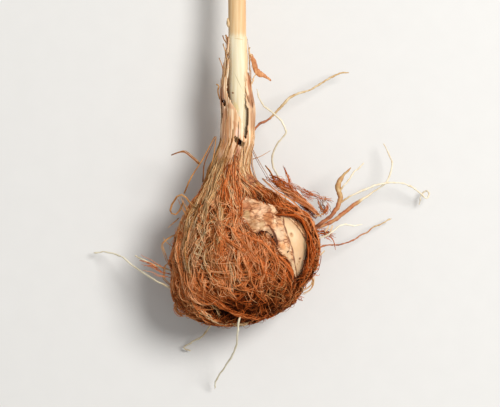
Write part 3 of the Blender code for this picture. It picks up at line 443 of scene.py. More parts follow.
def on_body(y, radius, turn):
    """The points at those turns and radii about the bent axis."""
    x, z = axis_at(y)
    placed = x + radius * np.cos(turn), y, z + depth_at(y) * radius * np.sin(turn)
    return np.stack(np.broadcast_arrays(*placed), axis=-1)


def on_top(points):
    """Which points are on the body's upper side."""
    return points[..., 2] > axis_at(points[..., 1])[1]


class Skin:
    """A turned surface. Its places are a length along its outline, from the base up, and a turn."""

    def __init__(self, outline_mm):
        line = smooth_line(outline_mm, 800) * MM
        steps = np.hypot(*np.diff(line, axis=0).T)
        self.along = np.concatenate([[0.0], np.cumsum(steps)])
        self.y, self.radius = line[:, 0], np.maximum(line[:, 1], 0)
        way = np.gradient(line, self.along, axis=0)
        way /= np.hypot(*way.T)[:, None]
        self.out_y, self.out_radius = -way[:, 1], way[:, 0]
        self.end = self.along[-1]

    def at(self, along):
        """Height and radius."""
        return np.interp(along, self.along, self.y), np.interp(along, self.along, self.radius)

    def along_at(self, y):
        """The length along the outline up to a height."""
        return np.interp(y, self.y, self.along)

    def point(self, along, turn, lift=0.0):
        """The points at those places, lifted off the surface."""
        y, radius = self.at(along)
        y = y + lift * np.interp(along, self.along, self.out_y)
        radius = radius + lift * np.interp(along, self.along, self.out_radius)
        return on_body(y, np.maximum(radius, 0), turn)


COAT, CORM, PAPER = Skin(COAT_OUTLINE_MM), Skin(CORM_OUTLINE_MM), Skin(PAPER_OUTLINE_MM)


def grain_slant(y, turn):
    """How far the net's grain leans from the body's length: along it at the neck and the sides, most across
    it low down on top and below."""
    down = np.clip((9 * MM - y) / (20 * MM), 0, 1)
    return math.radians(66) * down**1.25 * (0.35 + 0.65 * np.abs(np.sin(turn)))


def inside(outline_mm, x, y, growth=1.0):
    """Which points the outline, seen from above and grown about its middle, holds."""
    line = smooth_line(outline_mm, 6 * len(outline_mm), closed=True)[:-1]
    middle = line.mean(axis=0)
    px = middle[0] + (np.asarray(x) / MM - middle[0]) / growth
    py = middle[1] + (np.asarray(y) / MM - middle[1]) / growth
    held = np.zeros(np.broadcast(px, py).shape, bool)
    for (x0, y0), (x1, y1) in zip(line, np.roll(line, -1, axis=0)):
        crosses = (y0 > py) != (y1 > py)
        held ^= crosses & (px < x0 + (py - y0) * (x1 - x0) / (y1 - y0 if y1 != y0 else 1e-9))
    return held


def open_to_air(points, growth=1.0, rents=(NECK_RENT_MM, SMALL_RENT_MM)):
    """Which points lie in the coat's tears, seen from above and grown about their middles."""
    x, y = points[..., 0], points[..., 1]
    torn = inside(COAT_TEAR_MM, x, y, growth)
    for outline in (BARE_STEM_MM, *rents):
        torn |= inside(outline, x, y)
    return on_top(points) & torn


def edge_gap(outline_mm, points):
    """How far each point is from the outline, both seen from above."""
    line = smooth_line(outline_mm, 2 * len(outline_mm), closed=True) * MM
    flat = points[..., :2]
    nearest = np.full(flat.shape[:-1], 1.0)
    for start, end in zip(line, line[1:]):
        way = end - start
        f = np.clip(((flat - start) @ way) / max(way @ way, 1e-12), 0, 1)
        nearest = np.minimum(nearest, np.hypot(*np.moveaxis(flat - start - f[..., None] * way, -1, 0)))
    return nearest


def thinned(points):
    """How far the torn coat has sunk at each point: most at the tear's edge, and none 2 mm from it."""
    away = soft_step(0.2 * MM, 2.2 * MM, edge_gap(COAT_TEAR_MM, points))
    return EDGE_THINNING * (1 - away) * on_top(points)


def hollow(points):
    """How hollow the coat is at each point, in mm."""
    x, y = points[..., 0], points[..., 1]
    return sum(depth * near(x, y, place, reach) for place, reach, depth in HOLLOWS_MM) * on_top(points)


def ridge(along, turn):
    """The net's thick cords, as a height over the coat's skin, with lumps and hollows among them. The coat
    fits closest at its left side and at its right shoulder."""
    y, radius = COAT.at(along)
    side = np.cos(turn)
    close = 0.10 + 0.55 * soft_step(0.1, 0.8, -side) * soft_step(-7.0, -3.0, y / MM) * soft_step(13.0, 8.0, y / MM)
    close += 0.60 * soft_step(0.1, 0.7, side) * soft_step(5.5, 7.5, y / MM) * soft_step(13.5, 11.0, y / MM)
    lean = np.interp(along, COAT.along, GRAIN_LEAN)
    fade = np.clip(radius / (9 * MM), 0, 1)
    wave = np.cos(28 * (turn - lean) + 1.7 * np.sin(3 * turn + along / (3 * MM)))
    lumps = np.sin(5 * turn + along / (2.1 * MM)) * np.sin(3 * turn - along / (3.3 * MM) + 1.0)
    return MM * (fade * (0.16 * wave + 0.18 * lumps) - close - hollow(on_body(y, radius, turn)))


def grain_lean():
    """How far the grain has turned at each place up the coat, summed from the neck down."""
    slant = grain_slant(COAT.y, math.pi / 2)
    step = np.tan(slant) * np.gradient(COAT.along) / np.maximum(COAT.radius, 1 * MM)
    total = np.cumsum(step)
    return total - total[-1]


GRAIN_LEAN = grain_lean()


def new_piece(name, mesh, look, slot, *nodes):
    """Puts a finished mesh in the scene as a piece that stands for those solids."""
    piece = bpy.data.objects.new(name, mesh)
    bpy.context.scene.collection.objects.link(piece)
    mesh.materials.clear()
    mesh.materials.append(look)
    mesh.shade_smooth()
    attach(piece, "root")
    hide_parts(*nodes)
    return piece


def add_wall(piece, thick):
    """Gives an open skin its wall, inwards from the surface that shows."""
    wall = piece.modifiers.new("wall", "SOLIDIFY")
    wall.thickness, wall.offset = thick, -1.0


def evaluated(piece):
    """The piece's mesh with its modifiers applied, as a mesh of its own."""
    graph = bpy.context.evaluated_depsgraph_get()
    return bpy.data.meshes.new_from_object(piece.evaluated_get(graph))


def rod_maker(sides):
    """The node group that turns lines of points into rods, and writes each rod's map: U its tone, V along it."""
    group = bpy.data.node_groups.new("fibre_rods", "GeometryNodeTree")
    group.interface.new_socket("Lines", in_out="INPUT", socket_type="NodeSocketGeometry")
    group.interface.new_socket("Rods", in_out="OUTPUT", socket_type="NodeSocketGeometry")
    line = add_node(group, "GeometryNodeMeshToCurve", None, {"Mesh": add_node(group, "NodeGroupInput")})
    circle = add_node(group, "GeometryNodeCurvePrimitiveCircle", None, {"Resolution": sides, "Radius": 1.0})
    corner = {"Geometry": circle, "Name": "side", "Value": add_node(group, "GeometryNodeInputIndex")}
    on_points = {"data_type": "FLOAT", "domain": "POINT"}
    marked = add_node(group, "GeometryNodeStoreNamedAttribute", on_points, corner)
    thick, tone, place, side = (
        add_node(group, "GeometryNodeInputNamedAttribute", {"data_type": "FLOAT"}, {"Name": name})
        for name in ("thick", "tone", "place", "side")
    )
    swept = {"Curve": line, "Profile Curve": marked, "Scale": thick, "Fill Caps": True}
    made = add_node(group, "GeometryNodeCurveToMesh", None, swept)
    varied = {"Value": side, "Value_001": 0.012, "Value_002": tone}
    tone = add_node(group, "ShaderNodeMath", {"operation": "MULTIPLY_ADD"}, varied)
    both = add_node(group, "ShaderNodeCombineXYZ", None, {"X": tone, "Y": place})
    on_corners = {"data_type": "FLOAT2", "domain": "CORNER"}
    spots = {"Geometry": made, "Name": "OFBake", "Value": both}
    mapped = add_node(group, "GeometryNodeStoreNamedAttribute", on_corners, spots)
    add_node(group, "NodeGroupOutput", None, {"Rods": mapped})
    return group


def rods(name, bundles, sides=3):
    """A mesh of thin rods. Each bundle is (points, thickness, tone) for many lines of as many points each."""
    places, thick, tone, along, edges, count = [], [], [], [], [], 0
    for points, widths, tones in bundles:
        many, each = points.shape[:2]
        places.append(points.reshape(-1, 3))
        thick.append(np.broadcast_to(widths, (many, each)).ravel() / 2)
        tone.append(np.broadcast_to(tones, (many, each)).ravel())
        along.append(np.tile(np.linspace(0.0, 1.0, each), many))
        first = count + (np.arange(many)[:, None] * each + np.arange(each - 1)).ravel()
        edges.append(np.stack([first, first + 1], axis=1))
        count += many * each
    lines = bpy.data.meshes.new(name + "_lines")
    lines.from_pydata(np.concatenate(places).tolist(), np.concatenate(edges).tolist(), [])
    for key, values in (("thick", thick), ("tone", tone), ("place", along)):
        values = np.clip(np.concatenate(values), 0, 0.985)  # the map stays inside its tile
        lines.attributes.new(key, "FLOAT", "POINT").data.foreach_set("value", values)
    guide = bpy.data.objects.new(name + "_lines", lines)
    bpy.context.scene.collection.objects.link(guide)
    guide.modifiers.new("rods", "NODES").node_group = rod_maker(sides)
    mesh = evaluated(guide)
    mesh.name = name
    bpy.data.objects.remove(guide)
    for key in ("thick", "tone", "place", "side"):
        if key in mesh.attributes:
            mesh.attributes.remove(mesh.attributes[key])
    return mesh


# ---------------------------------------------------------------------------------------------- the coat


def fibre_courses(along, turn, length, leans, drift):
    """Walks many fibres at once down the coat's grain, and gives their places along it and their turns.
    leans is each one's own angle off the grain, and drift how that angle changes at each of its pieces."""
    walked_along, walked_turn = [along], [turn]
    for bend in np.cumsum(drift, axis=0):
        y, radius = COAT.at(along)
        angle = grain_slant(y, turn) + leans + bend
        step = length / len(drift)
        along = np.clip(along - np.cos(angle) * step, BASE_GAP, COAT.end)
        turn = turn - np.sin(angle) * step / np.maximum(radius, SMALLEST_ROUND)
        walked_along.append(along)
        walked_turn.append(turn)
    return np.stack(walked_along, axis=1), np.stack(walked_turn, axis=1)


def lay_fibres(rng, along, turn, length, leans, drift, low, proud):
    """Points of many fibres on the coat: each leaves the mat, arches over it and sinks back. Those that
    would cross a tear end at its edge, some a little past it. Also says which of them are kept."""
    pieces = len(drift)
    whole = fibre_courses(along, turn, length, leans, drift)
    flat = COAT.point(*whole)
    over = open_to_air(COAT.point(*whole, -thinned(flat)), rng.uniform(0.90, 1.13, len(along))[:, None])
    first = np.where(over.any(axis=1), over.argmax(axis=1), pieces + 1)
    keep = first > pieces * SHORTEST_LEFT
    share = (np.minimum(first - 0.5, pieces) / pieces)[keep]
    along, turn = fibre_courses(along[keep], turn[keep], length[keep] * share, leans[keep], drift[:, keep])
    arch = np.sin(np.linspace(0, math.pi, pieces + 1)) ** 0.6
    lift = low[keep, None] + proud[keep, None] * arch + ridge(along, turn)
    points = COAT.point(along, turn, lift - thinned(COAT.point(along, turn)))
    floor = 0.07 * MM + 0.16 * MM * rng.random(len(along))[:, None]
    points[..., 2] = np.maximum(points[..., 2], floor)
    return points, keep


def spread_starts(rng, count, low_y, high_y):
    """Places spread evenly over the coat's skin between two heights in mm."""
    weight = COAT.radius * np.gradient(COAT.along) * ((COAT.y > low_y * MM) & (COAT.y < high_y * MM))
    total = np.cumsum(weight) / weight.sum()
    return np.interp(rng.random(count), total, COAT.along), rng.uniform(0, TAU, count)


def patchy(rng, points, size):
    """Soft noise of that patch size for each point, from -1 to 1."""
    return 1.6 * cloud(points / size + rng.uniform(0, 50, 3))


def fibre_kinds(points):
    """How likely a fibre at each point is straw-coloured, and how likely dark."""
    x, y = points[..., 0], points[..., 1]
    _, middle = axis_at(y)
    up = soft_step(-0.2, 0.6, (points[..., 2] - middle) / (8 * MM))
    left = soft_step(-1.5, -5.0, x / MM - 0.15 * y / MM)
    neck = soft_step(8.5, 14.0, y / MM)
    wedge = near(x, y, (-2.2, 10.5), (1.7, 7.0)) * up
    straw = 0.03 + 0.24 * left * soft_step(-4.0, 5.0, y / MM) + 0.80 * neck
    straw += 0.04 * near(x, y, (-5.5, -8.0), (5.0, 3.0)) + 0.14 * near(x, y, (-8.0, 1.5), (4.0, 6.0))
    straw += 0.5 * near(x, y, (0.3, 14.0), (1.3, 4.5)) - 0.10 * near(x, y, (-8.0, -5.0), (4.0, 3.0))
    straw = straw * (1 - 0.55 * wedge) * (1 - 0.8 * near(x, y, (6.5, 7.0), (6.5, 5.0)))
    dark = 0.12 + 0.34 * soft_step(-3.0, -9.5, y / MM) + 0.25 * near(x, y, (10.5, 0.0), (4.5, 9.0))
    dark += 0.25 * near(x, y, (6.0, 8.0), (7.0, 3.5)) + 0.25 * near(x, y, (7.5, -6.5), (6.0, 4.0))
    dark *= 1 - 0.8 * neck
    return np.clip(straw, 0, 0.95), np.clip(dark, 0, 0.7)


# The coat's layers, from the mat outwards: share of all fibres, length in mm, the angle at which they cross
# the grain to either side, how much they stray from it and wander, heights of their ends and of their arch
# over the skin in mm, thickness, how much paler they are (painted shade: the lower the layer, the darker),
# the stretch of Y they start in, their number of straight pieces, and how many lie side by side in a cord
COAT_LAYERS = {
    "felt": (0.42, (0.6, 1.9), 0.9, 0.65, 0.30, (-0.34, 0.02), (0.06, 0.28), (0.6, 1.1), -0.18, (-11, 12.5), 3, 2),
    "net": (0.40, (1.0, 3.0), 0.6, 0.36, 0.18, (-0.18, 0.12), (0.10, 0.44), (0.6, 1.2), 0.07, (-11, 14.0), 3, 3),
    "cords": (0.075, (3.0, 8.0), 0.0, 0.34, 0.10, (-0.12, 0.02), (0.26, 0.56), (0.6, 1.1), 0.17, (-9, 14), 7, 6),
    "fuzz": (0.025, (1.2, 3.4), 0.5, 0.80, 0.30, (-0.15, 0.00), (0.40, 0.90), (0.5, 0.9), 0.14, (-11, 13.0), 5, 1),
    "neck": (0.035, (2.5, 6.0), 0.0, 0.06, 0.03, (-0.12, -0.04), (0.02, 0.12), (0.6, 1.2), 0.12, (9.0, 19.5), 7, 2),
}


def coat_layers(settings):
    """All of the coat's fibres, as points, thickness and tone, sorted into its pieces."""
    rng = np.random.default_rng(COAT_SEED)
    made = {}
    for layer, row in COAT_LAYERS.items():
        share, length, across, stray, wander, low, proud, thick, layer_shade, band, pieces, strands = row
        cords = int(settings.fibres * share / strands)
        count = cords * strands
        along, turn = spread_starts(rng, cords, *band)
        leans = rng.choice((-1, 1), cords) * across + rng.normal(0, stray, cords)
        leans *= 1 - 0.8 * soft_step(2.0, 12.0, COAT.at(along)[0] / MM)
        drift = rng.normal(0, wander, (pieces, cords))
        along, turn, leans, drift = (np.repeat(value, strands, axis=-1) for value in (along, turn, leans, drift))
        y, radius = COAT.at(along)
        neck = soft_step(8.0, 13.0, y / MM)
        if strands > 1:
            turn = turn + rng.normal(0, 0.02 * MM * (1 + strands), count) / np.maximum(radius, SMALLEST_ROUND)
            leans = leans + rng.normal(0, 0.05, count)
            along = along + rng.normal(0, 0.15 * MM * sum(length) / 2, count)
        leans = leans + 0.28 * patchy(rng, COAT.point(along, turn), 3.0 * MM) * (1 - neck)
        reach = rng.uniform(*length, count) * MM * (1 + 0.8 * neck)
        slant = grain_slant(y, turn) + leans
        along = np.clip(along + np.cos(slant) * reach / 2, BASE_GAP, COAT.end)
        turn = turn + np.sin(slant) * reach / 2 / np.maximum(COAT.at(along)[1], SMALLEST_ROUND)
        ends = rng.uniform(*low, count) * MM
        arch = rng.uniform(*proud, count) * MM * (1 - 0.6 * neck)
        points, keep = lay_fibres(rng, along, turn, reach, leans, drift * (1 - 0.6 * neck), ends, arch)
        middle = points[:, pieces // 2]
        dense = rng.random(len(middle)) > 1.1 * hollow(middle)
        straw, dark = fibre_kinds(middle)
        pick = np.repeat(rng.random(cords), strands)[keep]
        # Painted shade: a fibre is darker the lower it lies over the skin, and the lower its layer
        height = (ends + arch)[keep] / (0.5 * MM)
        tone = 0.50 + layer_shade + 0.32 * (height - 0.4) + 0.07 * rng.normal(0, 1, len(middle))
        tone += 0.15 * np.repeat(rng.normal(0, 1, cords), strands)[keep]
        tone += 0.09 * patchy(rng, middle, 2.2 * MM) + paleness(middle)
        tone = tone[:, None] + 0.07 * rng.normal(0, 1, (len(middle), pieces + 1))
        widths = (settings.fibre_width * rng.uniform(*thick, len(middle)))[:, None]
        taper = 0.55 + 0.45 * np.sin(np.linspace(0.15, math.pi - 0.1, pieces + 1)) ** 0.5
        for colour, chosen in (
            ("straw", dense & (pick < straw)),
            ("dark", dense & (pick > 1 - dark)),
            ("rust", dense & (pick >= straw) & (pick <= 1 - dark)),
        ):
            home = (layer if layer in ("felt", "net") else "cords") + "_" + colour
            made.setdefault(home, []).append((points[chosen], (widths * taper)[chosen], tone[chosen]))
    for colour, bundle in rib_bundles(settings):
        made["cords_" + colour].append(bundle)
    return made


def laid(flat_mm, lift_mm):
    """Points on the coat's upper side, from their X and Y and their lift, all in mm."""
    x, y = np.moveaxis(flat_mm, -1, 0) * MM
    y = np.clip(y, -10.8 * MM, COAT.y[-1])
    along = COAT.along_at(y)
    middle, _ = axis_at(y)
    radius = COAT.at(along)[1]
    turn = np.arccos(np.clip((x - middle) / np.maximum(radius, 0.3 * MM), -1, 1))
    return COAT.point(along, turn, lift_mm * MM + ridge(along, turn) - thinned(on_body(y, radius, turn)))


def rib_bundles(settings):
    """The net's stout ribs, with the short branches that leave them as barbs leave a feather's shaft."""
    rng = np.random.default_rng(RIB_SEED)
    for route, colour, strands, spread, pale, branch in RIBS_MM:
        line = smooth_line(route, 40)
        run = np.gradient(line, axis=0)
        run /= np.hypot(*run.T)[:, None]
        start = np.clip(rng.uniform(-0.2, 0.55, strands), 0, 1)
        stop = np.minimum(start + rng.uniform(0.35, 0.8, strands), 1)
        share = start[:, None] + (stop - start)[:, None] * np.linspace(0, 1, 10)
        way = along_line(run, share)
        aside = rng.normal(0, 1, (strands, 1)) + 0.15 * np.cumsum(rng.normal(0, 1, (strands, 10)), axis=1)
        flat = along_line(line, share) + spread * aside[..., None] * np.stack([-way[..., 1], way[..., 0]], axis=-1)
        arch = np.sin(np.linspace(0.2, math.pi - 0.2, 10)) ** 0.5
        lift = (0.50 + 0.12 * rng.normal(0, 1, (strands, 1))) * arch
        widths = settings.fibre_width * rng.uniform(1.0, 1.6, (strands, 1)) * (0.6 + 0.4 * arch)
        tone = pale + 0.06 + 0.10 * rng.normal(0, 1, (strands, 1)) + 0.05 * rng.normal(0, 1, (strands, 10))
        yield colour, (laid(flat, lift), widths, tone)
        many = int(np.hypot(*np.diff(line, axis=0).T).sum() / BRANCH_EVERY_MM) if branch else 0
        if many:
            share = rng.uniform(0, 1, many)
            angle = rng.choice((-1, 1), many) * rng.normal(0.7, 0.15, many)
            (x, y), cos, sin = along_line(run, share).T, np.cos(angle), np.sin(angle)
            turned = np.stack([x * cos - y * sin, x * sin + y * cos], axis=-1)
            out = np.linspace(0, 1, 4)
            reach = branch * rng.uniform(0.5, 1.3, many)[:, None, None] * out[None, :, None]
            lift = 0.48 - 0.34 * out + 0.06 * rng.normal(0, 1, (many, 1))
            widths = settings.fibre_width * rng.uniform(0.8, 1.2, (many, 1)) * np.linspace(1.0, 0.6, 4)
            tone = pale - 0.04 + 0.12 * rng.normal(0, 1, (many, 1)) - 0.10 * out
            yield colour, (laid(along_line(line, share)[:, None] + turned[:, None] * reach, lift), widths, tone)


# Where the fibres are paler or darker than the rest: by how much, the middle and the reach along X and Y in mm
PALE_PLACES_MM = (
    (0.16, (-0.2, 16.5), (1.5, 6.0)), (0.04, (-5.0, 7.0), (3.0, 6.0)), (0.10, (-7.5, -7.5), (2.6, 1.6)),
    (0.06, (-1.0, 1.0), (8.0, 7.0)), (-0.30, (1.0, -9.7), (10.0, 4.2)), (-0.10, (7.0, -6.0), (5.0, 4.0)),
    (-0.26, (6.0, 8.4), (6.0, 2.2)), (-0.16, (10.8, 0.5), (2.2, 6.5)), (0.15, (-8.0, 2.0), (3.8, 6.5)),
    (0.10, (-1.5, 12.0), (1.6, 4.5)), (-0.12, (-3.0, -8.4), (5.0, 2.6)), (0.14, (0.3, 14.5), (1.4, 4.5)),
    (0.10, (5.5, -7.0), (3.5, 2.5)), (0.08, (-8.5, 1.0), (3.0, 5.0)),
)  # fmt: skip


def paleness(points):
    """How much paler or darker than the rest the fibres are at each point, as places seen on the corm, and
    darker in the coat's hollows as painted shade.
    """
    x, y = points[..., 0], points[..., 1]
    _, middle = axis_at(y)
    top = soft_step(-0.3, 0.5, (points[..., 2] - middle) / (5 * MM))
    shift = sum(amount * near(x, y, place, reach) for amount, place, reach in PALE_PLACES_MM)
    # Painted shade: fibres in the coat's hollows are darker
    shift += 0.16 * soft_step(14.0, 19.0, y / MM) - 0.45 * hollow(points)
    return shift * top


def mat_wrinkle(flat, along, turn):
    """The close mat under the fibres: it follows the net's cords, sinks at the tear, and lies deeper up the neck."""
    grain = folds(14, turn - np.interp(along, COAT.along, GRAIN_LEAN), along / (6 * MM))
    deep = 0.22 + 0.35 * soft_step(12.0, 15.0, flat[:, 1] / MM)
    return ridge(along, turn) + (0.16 * grain - deep) * MM - thinned(flat)


def mat_open(places, turn):
    """Where the mat is gone: in the tears, in front of the neck, and past its upper edge."""
    ragged = 1.10 + 0.05 * cloud(places / (0.45 * MM)) + 0.14 * cloud(places / (1.6 * MM))
    high = places[:, 1] > (25.5 + 1.5 * np.sin(9 * turn) * np.sin(4 * turn + 1)) * MM
    front = (places[:, 1] > 18.6 * MM) & (np.abs(places[:, 0] + 0.9 * MM) < 2.0 * MM) & (np.sin(turn) > 0)
    return high | front | open_to_air(places, ragged, ())


def matted_felt_and_shade(settings):
    """Felted leaf-base net, dark so that it stands for the shade between the fibres: painted shade, with darker
    painted shade over the coat's hollows and a dark painted hole in the neck's rent. Streaks a third of a
    millimetre apart run with the grain, so that what shows between two fibres still reads as fibre."""
    made, tree, shader = new_material("matted_leaf_felt_and_shade")
    place = add_node(tree, "ShaderNodeTexCoord").outputs["Object"]
    grain = {"Vector": place, "Rotation": (0, 0, math.radians(35)), "Scale": (3000, 700, 3000)}
    stretched = add_node(tree, "ShaderNodeMapping", None, grain)
    streaks = add_node(tree, "ShaderNodeTexNoise", None, {"Vector": stretched, "Scale": 1.0, "Detail": 4.0})
    stops = ((0.35, "200b02"), (0.52, settings.mat), (0.72, "8f4b20"))
    felt = add_node(tree, "ShaderNodeValToRGB", {"stops": stops}, {"Fac": streaks})
    stops = ((0.35, "3f1e0c"), (0.52, "7a4722"), (0.72, "b17c4c"))
    sheath = add_node(tree, "ShaderNodeValToRGB", {"stops": stops}, {"Fac": streaks})
    y = add_node(tree, "ShaderNodeSeparateXYZ", None, {"Vector": place}).outputs["Y"]
    up = add_node(tree, "ShaderNodeMapRange", SOFT_RANGE, {"Value": y, "From Min": 11 * MM, "From Max": 19 * MM})
    colour = add_node(tree, "ShaderNodeMix", OF_COLOURS, {"Factor_Float": up, "A_Color": felt, "B_Color": sheath})
    bump = add_node(tree, "ShaderNodeBump", None, {"Strength": 0.8, "Distance": 0.1 * MM, "Height": streaks})
    # Painted shade: near-black marks over the coat's hollows, and a dark painted hole in the neck's rent
    marks = [(*middle, 1.3 * reach[1], 1.3 * reach[0], 0, "1a0902", 0.85) for middle, reach, _ in HOLLOWS_MM]
    marks.append((-0.9, 17.4, 0.7, 1.1, -25, "160602", 1.0))
    stain = stains_and_painted_shade(tree, place, colour, marks)
    dull = {"Roughness": 0.9, "Specular IOR Level": 0.15}
    fill_sockets(tree, shader, {"Base Color": stain, "Normal": bump, **dull})
    return made


def sprung_bundles(settings, routes):
    """The fibres that have sprung loose, as bundles of fine ones that splay along each route. A bundle of more
    than six is a tuft, whose fibres start and end anywhere along it."""
    rng = np.random.default_rng(SPRUNG_SEED)
    bundles = []
    places = np.linspace(0, 1, 12)
    for route, many, near_splay, far_splay, thick, pale in routes:
        line = smooth_line(route, 24) * MM
        tuft = many > 6
        start = rng.uniform(0, 0.6, many) * tuft
        stop = np.where(tuft, np.minimum(start + rng.uniform(0.3, 0.8, many), rng.uniform(0.85, 1.0, many)), 1.0)
        share = start[:, None] + (stop - start)[:, None] * places
        splay = (near_splay + (far_splay - near_splay) * share)[..., None] * MM
        away = rng.normal(0, 1, (many, 1, 3)) * np.array([1, 1, 0.7])
        leave = rng.normal(0, 0.6, (many, 1, 3)) * (places**2)[None, :, None] * tuft
        wave = np.cumsum(rng.normal(0, 0.22, (many, 12, 3)), axis=1)
        points = along_line(line, share) + splay * (away + leave + wave)
        points[..., 2] = np.maximum(points[..., 2], 0.15 * MM)
        stout = thick * (1.0 if tuft else 1.2)
        widths = settings.fibre_width * stout * rng.uniform(0.8, 1.25, many)[:, None] * (1.1 - 0.5 * places)
        tone = pale + 0.13 * rng.normal(0, 1, many)[:, None] + 0.07 * rng.normal(0, 1, (many, 12))
        bundles.append((points, widths, tone))
    return bundles


def rim_bristles(settings):
    """The free ends that stand up past the neck's torn edge."""
    rng = np.random.default_rng(BRISTLE_SEED)
    count = 80
    turn = rng.uniform(0, TAU, count)
    start = rng.uniform(25.0, 30.5, count) * MM
    places = np.linspace(0, 1, 6)
    y = start[:, None] + rng.uniform(1.5, 3.6, count)[:, None] * MM * places
    spread = rng.uniform(-0.1, 0.3, count)[:, None] * MM * places**2
    radius = COAT.at(COAT.along_at(np.minimum(y, 33.5 * MM)))[1] - 0.08 * MM + spread
    points = on_body(y, radius, turn[:, None] + rng.normal(0, 0.06, count)[:, None] * places)
    keep = ~open_to_air(points).any(axis=1)
    widths = settings.fibre_width * rng.uniform(0.8, 1.5, count)[:, None] * (1.1 - 0.6 * places)
    tone = 0.62 + 0.16 * rng.normal(0, 1, count)[:, None] + 0 * places
    return [(points[keep], widths[keep], tone[keep])]


# ---------------------------------------------------------------------------------------------- skins


def centres_of(bm):
    """The middles of a mesh's faces, as rows."""
    return np.array([face.calc_center_median()[:] for face in bm.faces])


def face_outwards(bm):
    """Turns an open skin's faces away from the body's axis."""
    bmesh.ops.recalc_face_normals(bm, faces=bm.faces)
    score = 0.0
    for face in bm.faces:
        place = face.calc_center_median()
        x, z = axis_at(place.y)
        score += face.normal.x * (place.x - float(x)) + face.normal.z * (place.z - float(z))
    if score < 0:
        bmesh.ops.reverse_faces(bm, faces=bm.faces)


def torn_skin(name, skin, rings, turns, wrinkle=None, opened=None, start=-1.0):
    """An open turned skin from a start along Y, wrinkled by one function and torn where the other says. It is
    finer in and round the coat's tear."""
    bm = bmesh.new()
    line = np.linspace(skin.along_at(start), skin.end, rings + 1)
    ring = [bm.verts.new((radius, y, 0)) for y, radius in zip(*skin.at(line))]
    edges = [bm.edges.new(pair) for pair in zip(ring, ring[1:])]
    bmesh.ops.spin(
        bm, geom=ring + edges, cent=(0, 0, 0), axis=(0, 1, 0), dvec=(0, 0, 0),
        angle=TAU, steps=turns, use_merge=True,
    )  # fmt: skip
    bmesh.ops.remove_doubles(bm, verts=bm.verts, dist=0.002 * MM)
    centres = centres_of(bm)
    beside = (centres[:, 2] > 0) & inside(COAT_TEAR_MM, centres[:, 0], centres[:, 1], 1.3)
    close = {edge for face, chosen in zip(bm.faces, beside) if chosen for edge in face.edges}
    bmesh.ops.subdivide_edges(bm, edges=list(close), cuts=2, use_grid_fill=True)
    bmesh.ops.triangulate(bm, faces=[f for f in bm.faces if len(f.verts) > 4])

    # The round skin is laid on the body: bent, flattened and wrinkled
    x, y, z = np.array([vert.co[:] for vert in bm.verts]).T
    along, turn = skin.along_at(y), np.arctan2(z, x)
    lift = wrinkle(skin.point(along, turn), along, turn) if wrinkle else 0.0
    points = skin.point(along, turn, lift)
    points[:, 2] = np.maximum(points[:, 2], GROUND_GAP)
    for vert, point in zip(bm.verts, points.tolist()):
        vert.co = point

    if opened:
        centres = centres_of(bm)
        x, z = axis_at(centres[:, 1])
        gone = opened(centres, np.arctan2(centres[:, 2] - z, centres[:, 0] - x))
        bmesh.ops.delete(bm, geom=[f for f, out in zip(list(bm.faces), gone) if out], context="FACES")
    bmesh.ops.delete(bm, geom=[v for v in bm.verts if not v.link_faces], context="VERTS")
    face_outwards(bm)
    mesh = bpy.data.meshes.new(name)
    bm.to_mesh(mesh)
    bm.free()
    return mesh


def paper_wrinkle(flat, along, turn):
    """The papery skin's creases: fine over the whole, and crumpled beside the tear's upper left. It lies close
    on the corm at its own tear, and under the coat's right shoulder."""
    x, y, z = flat.T / MM
    loose = np.clip(PAPER.at(along)[1] - CORM.at(CORM.along_at(flat[:, 1]))[1] - 0.28 * MM, 0, 1 * MM)
    close = 0.85 * loose * (1 - soft_step(0.2 * MM, 2.0 * MM, edge_gap(PAPER_TEAR_MM, flat)))
    close += 0.45 * MM * soft_step(7.0, 9.0, y) * soft_step(0.2, 0.6, np.cos(turn))
    crumple = 1 - np.minimum(((x - 1.8) / 3.8) ** 2 + ((y - 5.6) / 2.8) ** 2, 1.0)
    fine = cloud(np.stack([x * 1.3 + y * 0.9, y * 0.7 - x * 0.5, z * 0.5], axis=-1))
    large = np.abs(cloud(np.stack([x * 0.9 - y * 1.6, x * 0.5 + y * 0.6, 0 * x + 4.0], axis=-1))) - 0.25
    small = np.abs(cloud(np.stack([x * 2.4 - y * 1.4, y * 2.2 + x, 0 * x + 9.0], axis=-1))) - 0.25
    return MM * (0.06 * fine + (0.06 + 0.38 * crumple) * large + (0.03 + 0.22 * crumple) * small) - close


def paper_open(places, turn):
    """Where the papery skin is torn over the corm."""
    ragged = 1 + 0.04 * cloud(places / (0.5 * MM))
    return on_top(places) & inside(PAPER_TEAR_MM, places[:, 0], places[:, 1], ragged)


def sheath_wrinkle(flat, along, turn):
    """Long folds down the neck, half a millimetre apart. Its torn edge at the right lies close on the stem."""
    x, y, _ = flat.T / MM
    beside = 1 - soft_step(0.1 * MM, 1.1 * MM, edge_gap(BARE_STEM_MM, flat))
    close = 0.75 * (COAT.at(along)[1] - SHEATH_RADIUS) * beside * soft_step(22.6, 24.2, y) * soft_step(-1.2, -0.4, x)
    return MM * (0.20 * folds(3.2, turn, y / 9) + 0.10 * folds(9, turn, y / 5 + 7) - 0.08) - close


def sheath_open(places, turn):
    """Where the sheath is gone: down its front, past its upper edge, which is torn into strips, below its
    foot, and in the narrow splits between its strips."""
    y = places[:, 1] / MM
    teeth, fine = (folds(close, turn, close) for close in (4.0, 11.0))
    split = folds(8, turn, y / 4.5 + 3) > 0.42 - 0.12 * soft_step(24, 28, y)
    shifted = places + np.stack([0.14 * MM * cloud(places / (0.7 * MM)), 0 * y, 0 * y], axis=-1)
    return (y > 30.6 + 6.0 * teeth + 4.0 * fine) | (y < 11.2 + 2.0 * fine) | split | open_to_air(shifted)


